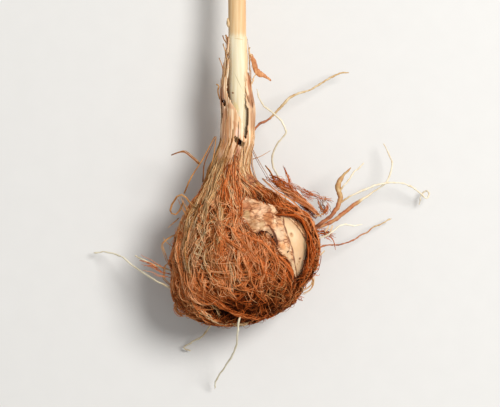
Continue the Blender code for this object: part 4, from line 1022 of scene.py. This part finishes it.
def stains_and_painted_shade(tree, place, colour, marks):
    """The colour with soft marks over it, each as the X and Y of its middle, its half length and half width in
    mm, how far it is turned from Y in degrees, its colour, and how strong it is. Some marks are the thing's own
    stains and specks, others painted shade and painted shadow."""
    for x, y, length, width, turned, tint, strength in marks:
        spot = {"Location": (x * MM, y * MM, 0), "Rotation": (0, 0, math.radians(turned))}
        spot |= {"Vector": place, "Scale": (width * MM, length * MM, 1.0)}
        local = add_node(tree, "ShaderNodeMapping", {"vector_type": "TEXTURE"}, spot)
        middle = add_node(tree, "ShaderNodeTexGradient", {"gradient_type": "SPHERICAL"}, {"Vector": local})
        fall = {"Value": middle.outputs["Fac"], "From Min": 0.0, "From Max": 0.6, "To Min": 0.0, "To Max": strength}
        amount = add_node(tree, "ShaderNodeMapRange", SOFT_RANGE, fall)
        over = {"Factor_Float": amount, "A_Color": colour, "B_Color": (*linear(tint), 1)}
        colour = add_node(tree, "ShaderNodeMix", OF_COLOURS, over)
    return colour


def sheath_skin():
    """Dried leaf-base sheath: peach-tan papery skin with long darker fibres in it, a fifth of a millimetre
    apart, browner towards its foot, and worn darker and paler in places."""
    made, tree, shader = new_material("dry_leaf_sheath")
    place = add_node(tree, "ShaderNodeTexCoord").outputs["Object"]
    ribs = add_node(tree, "ShaderNodeMapping", None, {"Vector": place, "Scale": (3400, 160, 3400)})
    streaks = add_node(tree, "ShaderNodeTexNoise", None, {"Vector": ribs, "Scale": 1.0, "Detail": 4.0})
    stops = ((0.28, "b8784a"), (0.42, "e0ac7e"), (0.56, "efcda4"), (0.72, "f8e6ca"))
    pale = add_node(tree, "ShaderNodeValToRGB", {"stops": stops}, {"Fac": streaks})
    stops = ((0.32, "5c2a0f"), (0.5, "98552b"), (0.72, "cf9460"))
    brown = add_node(tree, "ShaderNodeValToRGB", {"stops": stops}, {"Fac": streaks})
    y = add_node(tree, "ShaderNodeSeparateXYZ", None, {"Vector": place}).outputs["Y"]
    up = add_node(tree, "ShaderNodeMapRange", SOFT_RANGE, {"Value": y, "From Min": 12 * MM, "From Max": 19 * MM})
    colour = add_node(tree, "ShaderNodeMix", OF_COLOURS, {"Factor_Float": up, "A_Color": brown, "B_Color": pale})
    marks = (
        (-3.7, 24.6, 2.2, 0.8, 5, "a25c34", 0.8),
        (-2.2, 23.0, 0.8, 0.5, 50, "c98a62", 0.6),
        (-3.4, 28.5, 2.6, 0.4, 4, "cfa577", 0.6),
        (-1.2, 15.6, 1.6, 0.5, 0, "a2532b", 0.6),
        (-3.1, 21.4, 1.9, 0.6, 8, "bd7a52", 0.55),
        (-3.2, 17.8, 2.2, 0.9, 0, "a8602f", 0.6),
        (-3.0, 22.2, 1.2, 0.22, 0, "9a4f28", 0.6),
        (-2.3, 20.6, 1.6, 0.12, 4, "a85c30", 0.6),
        (-3.3, 19.6, 1.4, 0.15, 0, "a35a30", 0.6),
        (0.55, 28.4, 1.6, 0.4, 2, "bf8050", 0.6),
        (0.72, 26.4, 2.4, 0.45, 4, "ab6439", 0.85),
        (-1.1, 18.9, 1.0, 0.55, -8, "ecbfa6", 0.9),
        (-1.45, 20.2, 0.9, 0.4, 40, "c98a5c", 0.6),
        (1.0, 24.0, 1.8, 0.7, 0, "9c6036", 0.85),
        (1.1, 20.9, 2.4, 0.7, 0, "ab7043", 0.7),
        (-2.9, 20.4, 2.6, 1.0, 6, "b8743f", 0.5),
        (-1.2, 21.2, 1.4, 0.6, 15, "d49e68", 0.6),
        (0.75, 21.0, 1.8, 0.14, 2, "ecd0a6", 0.6),
    )
    bump = add_node(tree, "ShaderNodeBump", None, {"Strength": 0.7, "Distance": 0.08 * MM, "Height": streaks})
    stain = stains_and_painted_shade(tree, place, colour, marks)
    fill_sockets(tree, shader, {"Base Color": stain, "Normal": bump, "Roughness": 0.55})
    return made


def papery_skin(settings):
    """Dry inner tunic: a thin papery skin, crumpled along sharp lines about a millimetre apart that are darker
    than it, with a painted shadow along the crevice where it meets the fibres and painted shade beside it."""
    made, tree, shader = new_material("dry_papery_tunic")
    place = add_node(tree, "ShaderNodeTexCoord").outputs["Object"]
    lain = {"Vector": place, "Rotation": (0, 0, math.radians(28)), "Scale": (700, 1450, 900)}
    across = add_node(tree, "ShaderNodeMapping", None, lain)
    waver = add_node(tree, "ShaderNodeTexNoise", None, {"Vector": across, "Scale": 1.6, "Detail": 3.0})
    moved = {"Vector": waver.outputs["Color"], "Vector_001": (0.9, 0.9, 0.9), "Vector_002": across}
    bent = add_node(tree, "ShaderNodeVectorMath", {"operation": "MULTIPLY_ADD"}, moved)
    cells = {"feature": "DISTANCE_TO_EDGE"}
    creases = add_node(tree, "ShaderNodeTexVoronoi", cells, {"Vector": bent, "Scale": 1.0})
    stops = ((0.0, (0.0,) * 3), (0.05, (0.45,) * 3), (0.13, (1.0,) * 3))
    sharp = add_node(tree, "ShaderNodeValToRGB", {"stops": stops}, {"Fac": creases.outputs["Distance"]})
    patches = add_node(tree, "ShaderNodeTexNoise", None, {"Vector": place, "Scale": 620.0, "Detail": 5.0})
    stops = ((0.46, (0.0,) * 3), (0.62, (0.75,) * 3))
    faint = add_node(tree, "ShaderNodeValToRGB", {"stops": stops}, {"Fac": patches})
    paler = {"data_type": "RGBA", "blend_type": "LIGHTEN"}
    line = add_node(tree, "ShaderNodeMix", paler, {"Factor_Float": 1.0, "A_Color": sharp, "B_Color": faint})
    stops = ((0.36, "a5623a"), (0.48, settings.paper), (0.62, "e9c299"))
    skin = add_node(tree, "ShaderNodeValToRGB", {"stops": stops}, {"Fac": patches})
    creased = {"Factor_Float": line, "A_Color": (*linear("7d4222"), 1), "B_Color": skin}
    colour = add_node(tree, "ShaderNodeMix", OF_COLOURS, creased)
    marks = (
        (5.4, 3.2, 1.5, 0.9, 20, "e4c29c", 0.8),
        (1.1, 4.7, 1.3, 1.3, 0, "986a40", 0.65),
        (6.5, 0.2, 1.9, 0.6, 20, "deb88c", 0.8),
        (5.9, 1.3, 0.8, 0.5, 20, "dd9a62", 0.7),
        (7.6, -2.0, 1.6, 0.45, 14, "dcbb92", 0.8),
        (2.6, 7.0, 1.0, 1.8, 30, "e6b48e", 0.45),
        (0.3, 6.2, 0.9, 0.7, 0, "b89a6c", 0.6),
        (2.6, 4.6, 1.0, 0.6, 0, "ae8658", 0.6),
        (3.6, 5.5, 1.3, 0.7, 25, "b4713f", 0.5),
        (0.2, 7.6, 0.8, 0.8, 0, "c98458", 0.5),
        (9.0, 4.0, 1.5, 0.6, 40, "d9a066", 0.6),
        # Painted shade: dark-brown patches left of the crevice, then the crevice itself as a painted shadow line
        (3.9, 3.2, 1.6, 0.8, 28, "8a5833", 0.7),
        (4.3, 2.1, 1.3, 0.7, 16, "6e3d1e", 0.8),
        (3.75, 4.40, 0.6, 0.17, 46, "6a3412", 0.8),
        (4.22, 3.75, 0.8, 0.24, 38, "5a2808", 0.9),
        (4.60, 3.00, 0.9, 0.30, 24, "4c2006", 0.95),
        (4.86, 2.1, 1.0, 0.32, 10, "4c2006", 0.95),
        (6.62, 0.45, 0.30, 0.16, -40, "4a2410", 1.0),
        (5.8, 3.75, 0.10, 0.5, 10, "a05a34", 0.8),
        (6.3, 1.9, 0.10, 0.6, 20, "a05a34", 0.8),
    )
    bump = add_node(tree, "ShaderNodeBump", None, {"Strength": 0.7, "Distance": 0.10 * MM, "Height": line})
    stain = stains_and_painted_shade(tree, place, colour, marks)
    dry = {"Roughness": 0.6, "Specular IOR Level": 0.2}
    fill_sockets(tree, shader, {"Base Color": stain, "Normal": bump, **dry})
    return made


def corm_flesh(settings):
    """Fresh corm skin: smooth, waxy cream starch tissue with faint clouding and a few brown specks, and a thin
    painted shadow line along the papery skin's torn edge.
    """
    made, tree, shader = new_material("waxy_corm_skin")
    place = add_node(tree, "ShaderNodeTexCoord").outputs["Object"]
    clouds = add_node(tree, "ShaderNodeTexNoise", None, {"Vector": place, "Scale": 260.0, "Detail": 4.0})
    stops = ((0.32, "d6aa78"), (0.5, settings.cream), (0.68, "e8cba2"))
    cream = add_node(tree, "ShaderNodeValToRGB", {"stops": stops}, {"Fac": clouds})
    marks = [
        (7.2, 3.05, 0.55, 0.40, 20, "c08a58", 0.8),
        (7.15, 3.2, 0.22, 0.16, 20, "8a5028", 0.7),
        (8.5, -0.65, 0.26, 0.20, -30, "7a431f", 0.95),
        (8.4, -1.15, 0.16, 0.14, 0, "a0683c", 0.8),
        (8.1, -1.5, 0.14, 0.12, 0, "a0683c", 0.7),
        (9.4, 1.0, 3.6, 0.5, 4, "d3b482", 0.5),
    ]
    # Painted shadow: a thin dark line on the corm along the papery skin's torn edge
    tear_edge_shadow = (
        (5.98, 5.0, 4), (6.3, 3.8, 18), (6.8, 2.3, 20), (7.3, 0.8, 16), (7.6, -0.8, 10), (7.85, -2.3, 9),
        (8.1, -3.6, 12),
    )  # fmt: skip
    marks += [(x, y, 1.1, 0.20, turned, "7d4626", 0.95) for x, y, turned in tear_edge_shadow]
    waxy = {"Roughness": 0.5, "Subsurface Weight": 0.15, "Subsurface Radius": (0.0012, 0.0007, 0.0004)}
    fill_sockets(tree, shader, {"Base Color": stains_and_painted_shade(tree, place, cream, marks), **waxy})
    return made


def stem_skin(settings):
    """Blanched stem sheath: moist pale tissue, near white, with fine ribs a fifth of a millimetre apart."""
    made, tree, shader = new_material("blanched_stem_sheath")
    place = add_node(tree, "ShaderNodeTexCoord").outputs["Object"]
    ribs = add_node(tree, "ShaderNodeMapping", None, {"Vector": place, "Scale": (2600, 110, 2600)})
    streaks = add_node(tree, "ShaderNodeTexNoise", None, {"Vector": ribs, "Scale": 1.0, "Detail": 3.0})
    split = add_node(tree, "ShaderNodeSeparateXYZ", None, {"Vector": place})
    stops = ((0.30, "d8c69e"), (0.5, settings.sheath), (0.72, "ebe1c6"))
    white = add_node(tree, "ShaderNodeValToRGB", {"stops": stops}, {"Fac": streaks})
    stops = ((0.30, "d2aa78"), (0.5, settings.stem), (0.72, "e4c79a"))
    tan = add_node(tree, "ShaderNodeValToRGB", {"stops": stops}, {"Fac": streaks})
    rim = {"Value": split.outputs["Y"], "From Min": RIM_Y - 0.4 * MM, "From Max": RIM_Y + 1.0 * MM}
    above = add_node(tree, "ShaderNodeMapRange", SOFT_RANGE, rim)
    body = add_node(tree, "ShaderNodeMix", OF_COLOURS, {"Factor_Float": above, "A_Color": white, "B_Color": tan})
    right = {"Value": split.outputs["X"], "From Min": -0.9 * MM, "From Max": 0.2 * MM, "To Min": 0.0, "To Max": 0.55}
    edge = add_node(tree, "ShaderNodeMapRange", SOFT_RANGE, right)
    warm = {"Factor_Float": edge, "A_Color": body, "B_Color": (*linear("e0a878"), 1)}
    blush = add_node(tree, "ShaderNodeMix", OF_COLOURS, warm)
    whole = add_node(tree, "ShaderNodeMix", OF_COLOURS, {"Factor_Float": above, "A_Color": body, "B_Color": blush})
    marks = (
        (-1.05, 26.9, 1.9, 0.10, 25, "b9ab87", 0.7),
        (0.15, 30.0, 9.0, 0.30, 0, "ecc798", 0.8),
        (-2.7, 31.0, 9.0, 0.35, 0, "e6c596", 0.8),
        (-1.9, 25.1, 0.25, 0.2, 60, "8c5230", 0.9),
        (-1.4, 22.9, 1.2, 0.5, 20, "e3cf95", 0.7),
        (-0.95, 33.5, 0.10, 0.95, -8, "c9ae78", 0.7),
        (-1.6, 41.0, 0.5, 0.4, 0, "dcb47c", 0.6),
        (-2.95, 36.1, 0.5, 0.35, 0, "8f6a40", 0.8),
    )
    bump = add_node(tree, "ShaderNodeBump", None, {"Strength": 0.5, "Distance": 0.05 * MM, "Height": streaks})
    moist = {"Roughness": 0.6, "Specular IOR Level": 0.2, "Subsurface Weight": 0.12}
    moist["Subsurface Radius"] = (0.001, 0.0008, 0.0005)
    fill_sockets(tree, shader, {"Base Color": stains_and_painted_shade(tree, place, whole, marks), "Normal": bump, **moist})
    return made


def root_skin(name, stops, roughness):
    """Contractile root, dried in air: a wrinkled skin over a limp core. The map's U says how pale it is there,
    with clouds of soil stain a millimetre across, and cross wrinkles a third of a millimetre apart."""
    made, tree, shader = new_material(name)
    place = add_node(tree, "ShaderNodeTexCoord").outputs["Object"]
    stain = add_node(tree, "ShaderNodeTexNoise", None, {"Vector": place, "Scale": 1000.0, "Detail": 5.0})
    spot = add_node(tree, "ShaderNodeUVMap", {"uv_map": "OFBake"})
    pale = add_node(tree, "ShaderNodeSeparateXYZ", None, {"Vector": spot}).outputs["X"]
    soiled = {"Value": stain, "Value_001": 0.8, "Value_002": pale}
    tone = add_node(tree, "ShaderNodeMath", {"operation": "MULTIPLY_ADD"}, soiled)
    shifted = add_node(tree, "ShaderNodeMath", {"operation": "SUBTRACT"}, {"Value": tone, "Value_001": 0.4})
    colour = add_node(tree, "ShaderNodeValToRGB", {"stops": stops}, {"Fac": shifted})
    wrinkle = add_node(tree, "ShaderNodeTexNoise", None, {"Vector": place, "Scale": 3000.0, "Detail": 2.0})
    bump = add_node(tree, "ShaderNodeBump", None, {"Strength": 0.6, "Distance": 0.04 * MM, "Height": wrinkle})
    fill_sockets(tree, shader, {"Base Color": colour, "Normal": bump, "Roughness": roughness})
    return made


def scrap_skin():
    """Torn dry sheath: thin orange-brown papery tissue, streaked along its length."""
    made, tree, shader = new_material("dry_sheath_scrap")
    place = add_node(tree, "ShaderNodeTexCoord").outputs["Object"]
    lain = {"Vector": place, "Rotation": (0, 0, math.radians(-18)), "Scale": (4000, 700, 4000)}
    along = add_node(tree, "ShaderNodeMapping", None, lain)
    streaks = add_node(tree, "ShaderNodeTexNoise", None, {"Vector": along, "Scale": 1.0, "Detail": 3.0})
    stops = ((0.3, "8f4a1f"), (0.5, "c47c44"), (0.72, "dca06a"))
    colour = add_node(tree, "ShaderNodeValToRGB", {"stops": stops}, {"Fac": streaks})
    fill_sockets(tree, shader, {"Base Color": colour, "Roughness": 0.55})
    return made


def matt_card(settings):
    """Matt card: even and pale, with a grain of about three millimetres that hardly shows."""
    made, tree, shader = new_material("matt_card")
    place = add_node(tree, "ShaderNodeTexCoord").outputs["Object"]
    grain = add_node(tree, "ShaderNodeTexNoise", None, {"Vector": place, "Scale": 300.0})
    stops = ((0.3, tuple(c * 0.985 for c in settings.floor)), (0.7, settings.floor))
    tone = add_node(tree, "ShaderNodeValToRGB", {"stops": stops}, {"Fac": grain})
    fill_sockets(tree, shader, {"Base Color": tone, "Roughness": 0.9, "Specular IOR Level": 0.1})
    return made


def tube_mesh(name, lines, sides, flatness=1.0):
    """A mesh of tubes, each from (points, thickness) with closed ends. A flatness below 1 makes ribbons that
    lie with their broad side up."""
    curve = bpy.data.curves.new(name, "CURVE")
    curve.dimensions = "3D"
    curve.use_fill_caps = True
    curve.twist_mode = "MINIMUM" if flatness == 1.0 else "Z_UP"
    profile = bpy.data.curves.new(name + "_section", "CURVE")
    profile.dimensions = "2D"
    loop = profile.splines.new("POLY")
    loop.points.add(sides - 1)
    loop.use_cyclic_u = True
    for k, place in enumerate(loop.points):
        place.co = (MM * math.cos(TAU * k / sides), flatness * MM * math.sin(TAU * k / sides), 0, 1)
    section = bpy.data.objects.new(name + "_section", profile)
    bpy.context.scene.collection.objects.link(section)
    curve.bevel_mode = "OBJECT"
    curve.bevel_object = section
    for points, thick in lines:
        spline = curve.splines.new("POLY")
        spline.points.add(len(points) - 1)
        for place, point, width in zip(spline.points, points, thick):
            place.co = (*point, 1)
            place.radius = width / 2 / MM
    guide = bpy.data.objects.new(name + "_line", curve)
    bpy.context.scene.collection.objects.link(guide)
    mesh = evaluated(guide)
    mesh.name = name
    bpy.data.objects.remove(guide)
    bpy.data.objects.remove(section)
    bm = bmesh.new()
    bm.from_mesh(mesh)
    bmesh.ops.remove_doubles(bm, verts=bm.verts, dist=0.001 * MM)
    bmesh.ops.recalc_face_normals(bm, faces=bm.faces)
    bm.to_mesh(mesh)
    bm.free()
    return mesh


def root_lines(routes, rng):
    """Routes made smooth, with the small kinks and swellings of a dried root: points and thickness of each."""
    lines = []
    for route in routes:
        places = smooth_line(route, 8 * (len(route) - 1))
        share = np.linspace(0, 1, len(places))
        places = 0.35 * places + 0.65 * along_line(np.array(route), share)
        kinks = sum(
            rng.normal(0, 0.05 / (1 + k), 3) * np.sin(TAU * (k + 1) * 2.3 * share + rng.uniform(0, TAU))[:, None]
            for k in range(4)
        )
        points = (places[:, :3] + kinks * np.minimum(share * 8, 1)[:, None]) * MM
        swell = 1 + 0.10 * np.sin(TAU * 5 * share + rng.uniform(0, TAU)) * np.sin(TAU * 2 * share)
        thin = np.where(places[:, 3] > 0.7, 0.84, 0.80)  # the solids' roots are thicker than life
        thick = thin * places[:, 3] * MM * swell * np.clip((1 - share) * 30, 0.7, 1)
        points[:, 2] = np.maximum(points[:, 2], thick / 2 + GROUND_GAP)
        lines.append((points, thick))
    return lines


def root_mesh(name, routes, rng, sides, tones):
    """Roots as one mesh. Each is as pale as its first tone where it leaves the coat, and turns to its second
    over the stretch of its length that its third gives."""
    bundles = []
    for (points, thick), (foot, tip, fade) in zip(root_lines(routes, rng), tones):
        share = np.linspace(0, 1, len(points))
        tone = foot + (tip - foot) * soft_step(*fade, share)
        bundles.append((points[None], thick[None], tone[None]))
    mesh = rods(name, bundles, sides)
    for vert in mesh.vertices:
        vert.co += vert.normal * noise.noise(vert.co / (0.35 * MM)) * 0.09 * MM
    return mesh


# ---------------------------------------------------------------------------------------------- settings


def colour_setting(name, description, code):
    """A setting that holds a colour, from its sRGB hex."""
    return bpy.props.FloatVectorProperty(name=name, description=description, subtype="COLOR", default=linear(code))


class CoatSettings(bpy.types.PropertyGroup):
    fibres: bpy.props.IntProperty(
        name="Fibres", description="How many fibres cover the coat and the neck", default=34000, min=500
    )
    fibre_width: bpy.props.FloatProperty(
        name="Fibre width", description="Mean thickness of one fibre", default=0.000105, unit="LENGTH", precision=6
    )
    # The mat's dark tone stands partly for the shade between the fibres: painted shade
    mat: colour_setting("Mat", "Felt between the fibres", "451b07")
    rust: colour_setting("Rust", "Middle tone of the rust fibres", "cd662b")
    straw: colour_setting("Straw", "Middle tone of the straw fibres", "c4894f")
    dark: colour_setting("Dark", "Middle tone of the dark fibres", "7a3a14")


class SkinSettings(bpy.types.PropertyGroup):
    paper: colour_setting("Papery skin", "Papery skin between its creases", "d39a6c")
    cream: colour_setting("Corm", "The corm's smooth side", "dfb98e")
    sheath: colour_setting("Sheath", "Blanched sheath round the stem", "e2d4b2")
    stem: colour_setting("Stem", "Stem above its sheath", "dcb888")


class RootSettings(bpy.types.PropertyGroup):
    sides: bpy.props.IntProperty(name="Sides", description="Sides of a root's section", default=8, min=3)
    pale: colour_setting("Pale root", "Middle tone of the pale roots", "d8cbaa")
    brown: colour_setting("Brown root", "Middle tone of the brown roots", "b3683a")


class StageSettings(bpy.types.PropertyGroup):
    floor: colour_setting("Floor", "The plain floor", "dcdad6")
    key: bpy.props.FloatProperty(
        name="Key light", description="Power of the soft light", default=2.4, min=0, unit="POWER"
    )
    sky: bpy.props.FloatProperty(name="Fill", description="Strength of the even fill light", default=0.41, min=0)


# ---------------------------------------------------------------------------------------------- operators


class CORM_OT_coat_mat(bpy.types.Operator):
    """Lays the close mat of the coat, torn open over the corm and down the neck"""

    bl_idname = "corm.coat_mat"
    bl_label = "Coat mat"

    def execute(self, context):
        mesh = torn_skin("coat_mat", COAT, 110, 120, mat_wrinkle, mat_open)
        look = matted_felt_and_shade(context.scene.corm_coat)
        add_wall(new_piece("coat_mat", mesh, look, "fibre_coat", "fibre_coat"), 0.2 * MM)
        return {"FINISHED"}


class CORM_OT_coat_fibres(bpy.types.Operator):
    """Grows the coat's fibres along the grain of its net, in three colours"""

    bl_idname = "corm.coat_fibres"
    bl_label = "Coat fibres"

    def execute(self, context):
        settings = context.scene.corm_coat
        looks = fibre_looks(settings)
        for name, bundles in coat_layers(settings).items():
            look = looks[name.split("_")[1]]
            new_piece(name, rods(name, bundles), look, "fibre_coat", "fibre_coat")
        return {"FINISHED"}


class CORM_OT_sprung_fibres(bpy.types.Operator):
    """Adds the tufts and single fibres that have sprung out of the coat, the neck's bristles and the scrap"""

    bl_idname = "corm.sprung_fibres"
    bl_label = "Sprung fibres"

    def execute(self, context):
        settings = context.scene.corm_coat
        looks = fibre_looks(settings)
        for colour, routes in (("rust", SPRUNG_RUST_MM), ("straw", SPRUNG_STRAW_MM)):
            mesh = rods("sprung_" + colour, sprung_bundles(settings, routes))
            new_piece("sprung_" + colour, mesh, looks[colour], "fibre_coat", "fibre_coat")
        mesh = rods("neck_bristles", rim_bristles(settings))
        new_piece("neck_bristles", mesh, looks["straw"], "fibre_coat", "fibre_coat")
        rng = np.random.default_rng(SCRAP_SEED)
        mesh = tube_mesh("sheath_scrap", root_lines([SCRAP_RIBBON_MM], rng), 12, 0.16)
        new_piece("sheath_scrap", mesh, scrap_skin(), "fibre_coat", "fibre_coat")
        threads = root_mesh("scrap_threads", SCRAP_THREADS_MM, rng, 5, [(0.75, 0.85, (0.0, 1.0))] * 2)
        new_piece("scrap_threads", threads, looks["straw"], "fibre_coat", "fibre_coat")
        return {"FINISHED"}


class CORM_OT_neck_sheath(bpy.types.Operator):
    """Wraps the neck in its papery sheath, split down the front and torn along its upper edge"""

    bl_idname = "corm.neck_sheath"
    bl_label = "Neck sheath"

    def execute(self, context):
        mesh = torn_skin("neck_sheath", COAT, 120, 130, sheath_wrinkle, sheath_open, 10.5 * MM)
        add_wall(new_piece("neck_sheath", mesh, sheath_skin(), "fibre_coat", "fibre_coat"), 0.12 * MM)
        return {"FINISHED"}


class CORM_OT_papery_layer(bpy.types.Operator):
    """Makes the papery skin that shows in the coat's tear, torn itself over the corm"""

    bl_idname = "corm.papery_layer"
    bl_label = "Papery skin"

    def execute(self, context):
        mesh = torn_skin("papery_skin", PAPER, 80, 116, paper_wrinkle, paper_open)
        look = papery_skin(context.scene.corm_skins)
        add_wall(new_piece("papery_skin", mesh, look, "papery_layer", "papery_layer"), 0.10 * MM)
        return {"FINISHED"}


class CORM_OT_corm(bpy.types.Operator):
    """Makes the smooth corm inside its skins"""

    bl_idname = "corm.corm"
    bl_label = "Corm"

    def execute(self, context):
        mesh = torn_skin("corm_body", CORM, 60, 96)
        new_piece("corm_body", mesh, corm_flesh(context.scene.corm_skins), "corm", "corm")
        return {"FINISHED"}


class CORM_OT_stem(bpy.types.Operator):
    """Makes the stem with its clasping sheath, its rim and its side bud"""

    bl_idname = "corm.stem"
    bl_label = "Stem"

    def execute(self, context):
        foot = 10.0 * MM
        below = np.linspace(foot, RIM_Y - 0.25 * MM, 40)
        lip = np.array([RIM_Y, RIM_Y + 0.10 * MM, RIM_Y + 0.2 * MM])
        above = np.linspace(RIM_Y + 0.5 * MM, STEM_END_Y, 24)
        y = np.concatenate([below, lip, above])
        clasping = SHEATH_RADIUS * (0.93 + 0.07 * np.clip((below - foot) / (9 * MM), 0, 1))
        radius = np.concatenate([clasping, [SHEATH_RADIUS, SHEATH_RADIUS * 0.97], [STEM_RADIUS] * 25])
        line = on_body(y, 0.0, 0.0)
        line[:, 0] += 0.26 * MM * soft_step(16.0, 22.0, y / MM) * soft_step(33.0, 28.0, y / MM)
        place = on_body(RIM_Y + 2.1 * MM, STEM_RADIUS * 0.9, math.radians(165))
        bud = place + np.linspace(-1, 1, 9)[:, None] * np.array([-0.3, 0.9, 0.0]) * MM
        swell = MM * np.array([0.2, 0.5, 0.75, 0.9, 0.95, 0.85, 0.65, 0.4, 0.15])
        mesh = tube_mesh("stem_sheathed", [(line, radius * 2), (bud, swell)], 40)
        new_piece("stem_sheathed", mesh, stem_skin(context.scene.corm_skins), "stem", "stem")
        return {"FINISHED"}


class CORM_OT_roots(bpy.types.Operator):
    """Draws the dried roots out of the coat, and the cluster that shares a foot"""

    bl_idname = "corm.roots"
    bl_label = "Roots"

    def execute(self, context):
        settings = context.scene.corm_roots
        rng = np.random.default_rng(ROOT_SEED)
        stops = ((0.0, "7c5a35"), (0.3, "b1946a"), (0.6, settings.pale), (1.0, "f1e9d2"))
        pale = root_skin("dried_pale_root", stops, 0.55)
        stops = ((0.0, "5c2c10"), (0.3, settings.brown), (0.55, "bd9660"), (0.7, "d6bd92"), (1.0, "eadfc6"))
        brown = root_skin("dried_brown_root", stops, 0.6)
        for node, route in ROOT_ROUTES_MM.items():
            slot, look = ("brown_root", brown) if node in BROWN_ROOTS else ("pale_root", pale)
            mesh = root_mesh(node + "_fine", [route], rng, settings.sides, [ROOT_TONES[node]])
            new_piece(node + "_fine", mesh, look, slot, node)
        mesh = root_mesh("root_cluster_fine", CLUSTER_ROUTES_MM, rng, settings.sides, CLUSTER_TONES)
        new_piece("root_cluster_fine", mesh, brown, "brown_root", "root_cluster")
        return {"FINISHED"}


class CORM_OT_stage(bpy.types.Operator):
    """Sets the plain floor, the soft light and the camera that looks straight down"""

    bl_idname = "corm.stage"
    bl_label = "Stage"

    def execute(self, context):
        settings = context.scene.corm_stage
        scene = context.scene
        bm = bmesh.new()
        bmesh.ops.create_grid(bm, x_segments=8, y_segments=8, size=2.0)
        mesh = bpy.data.meshes.new("floor")
        bm.to_mesh(mesh)
        bm.free()
        floor = bpy.data.objects.new("floor", mesh)
        scene.collection.objects.link(floor)
        mesh.materials.append(matt_card(settings))

        light = bpy.data.lights.new("soft_key", "AREA")
        light.shape, light.size, light.energy = "DISK", 0.20, settings.key
        key = bpy.data.objects.new("soft_key", light)
        key.location = KEY_PLACE
        key.rotation_euler = (-Vector(key.location)).to_track_quat("-Z", "Y").to_euler()
        scene.collection.objects.link(key)
        world = bpy.data.worlds.new("studio")
        world.use_nodes = True
        back = world.node_tree.nodes["Background"]
        fill_sockets(world.node_tree, back, {"Color": (1.0, 1.0, 1.0, 1), "Strength": settings.sky})
        scene.world = world

        lens = bpy.data.cameras.new("from_above")
        lens.sensor_width, lens.lens = SENSOR_WIDTH_MM, LENS_MM
        lens.clip_start, lens.clip_end = 0.01, 10.0
        camera = bpy.data.objects.new("from_above", lens)
        x, y = VIEW_CENTRE_MM
        camera.location = (x * MM, y * MM, CENTRE_Z + VIEW_WIDTH * LENS_MM / SENSOR_WIDTH_MM)
        scene.collection.objects.link(camera)
        scene.camera = camera
        scene.view_settings.view_transform = "Standard"
        return {"FINISHED"}


class CORM_PT_sidebar(bpy.types.Panel):
    """Lists the corm's settings and pieces"""

    bl_idname = "CORM_PT_sidebar"
    bl_label = "Barbary nut corm"
    bl_space_type = "VIEW_3D"
    bl_region_type = "UI"
    bl_category = "Corm"

    def draw(self, context):
        scene = context.scene
        for settings in (scene.corm_coat, scene.corm_skins, scene.corm_roots, scene.corm_stage):
            box = self.layout.box()
            for name in type(settings).__annotations__:
                box.prop(settings, name)
        for step in STEPS:
            self.layout.operator(step.bl_idname)


SETTINGS = {
    "corm_coat": CoatSettings,
    "corm_skins": SkinSettings,
    "corm_roots": RootSettings,
    "corm_stage": StageSettings,
}
STEPS = (
    CORM_OT_coat_mat,
    CORM_OT_coat_fibres,
    CORM_OT_sprung_fibres,
    CORM_OT_neck_sheath,
    CORM_OT_papery_layer,
    CORM_OT_corm,
    CORM_OT_stem,
    CORM_OT_roots,
    CORM_OT_stage,
)


def register():
    """Makes the classes and the scene's settings known to Blender."""
    for made in (*SETTINGS.values(), *STEPS, CORM_PT_sidebar):
        bpy.utils.register_class(made)
    for name, made in SETTINGS.items():
        setattr(bpy.types.Scene, name, bpy.props.PointerProperty(type=made))


def unregister():
    """Takes them away again."""
    for name in SETTINGS:
        delattr(bpy.types.Scene, name)
    for made in (CORM_PT_sidebar, *reversed(STEPS), *SETTINGS.values()):
        bpy.utils.unregister_class(made)


def main():
    """Builds every piece and the stage."""
    register()
    for step in STEPS:
        group, name = step.bl_idname.split(".")
        getattr(getattr(bpy.ops, group), name)()


if __name__ == "__main__":
    main()
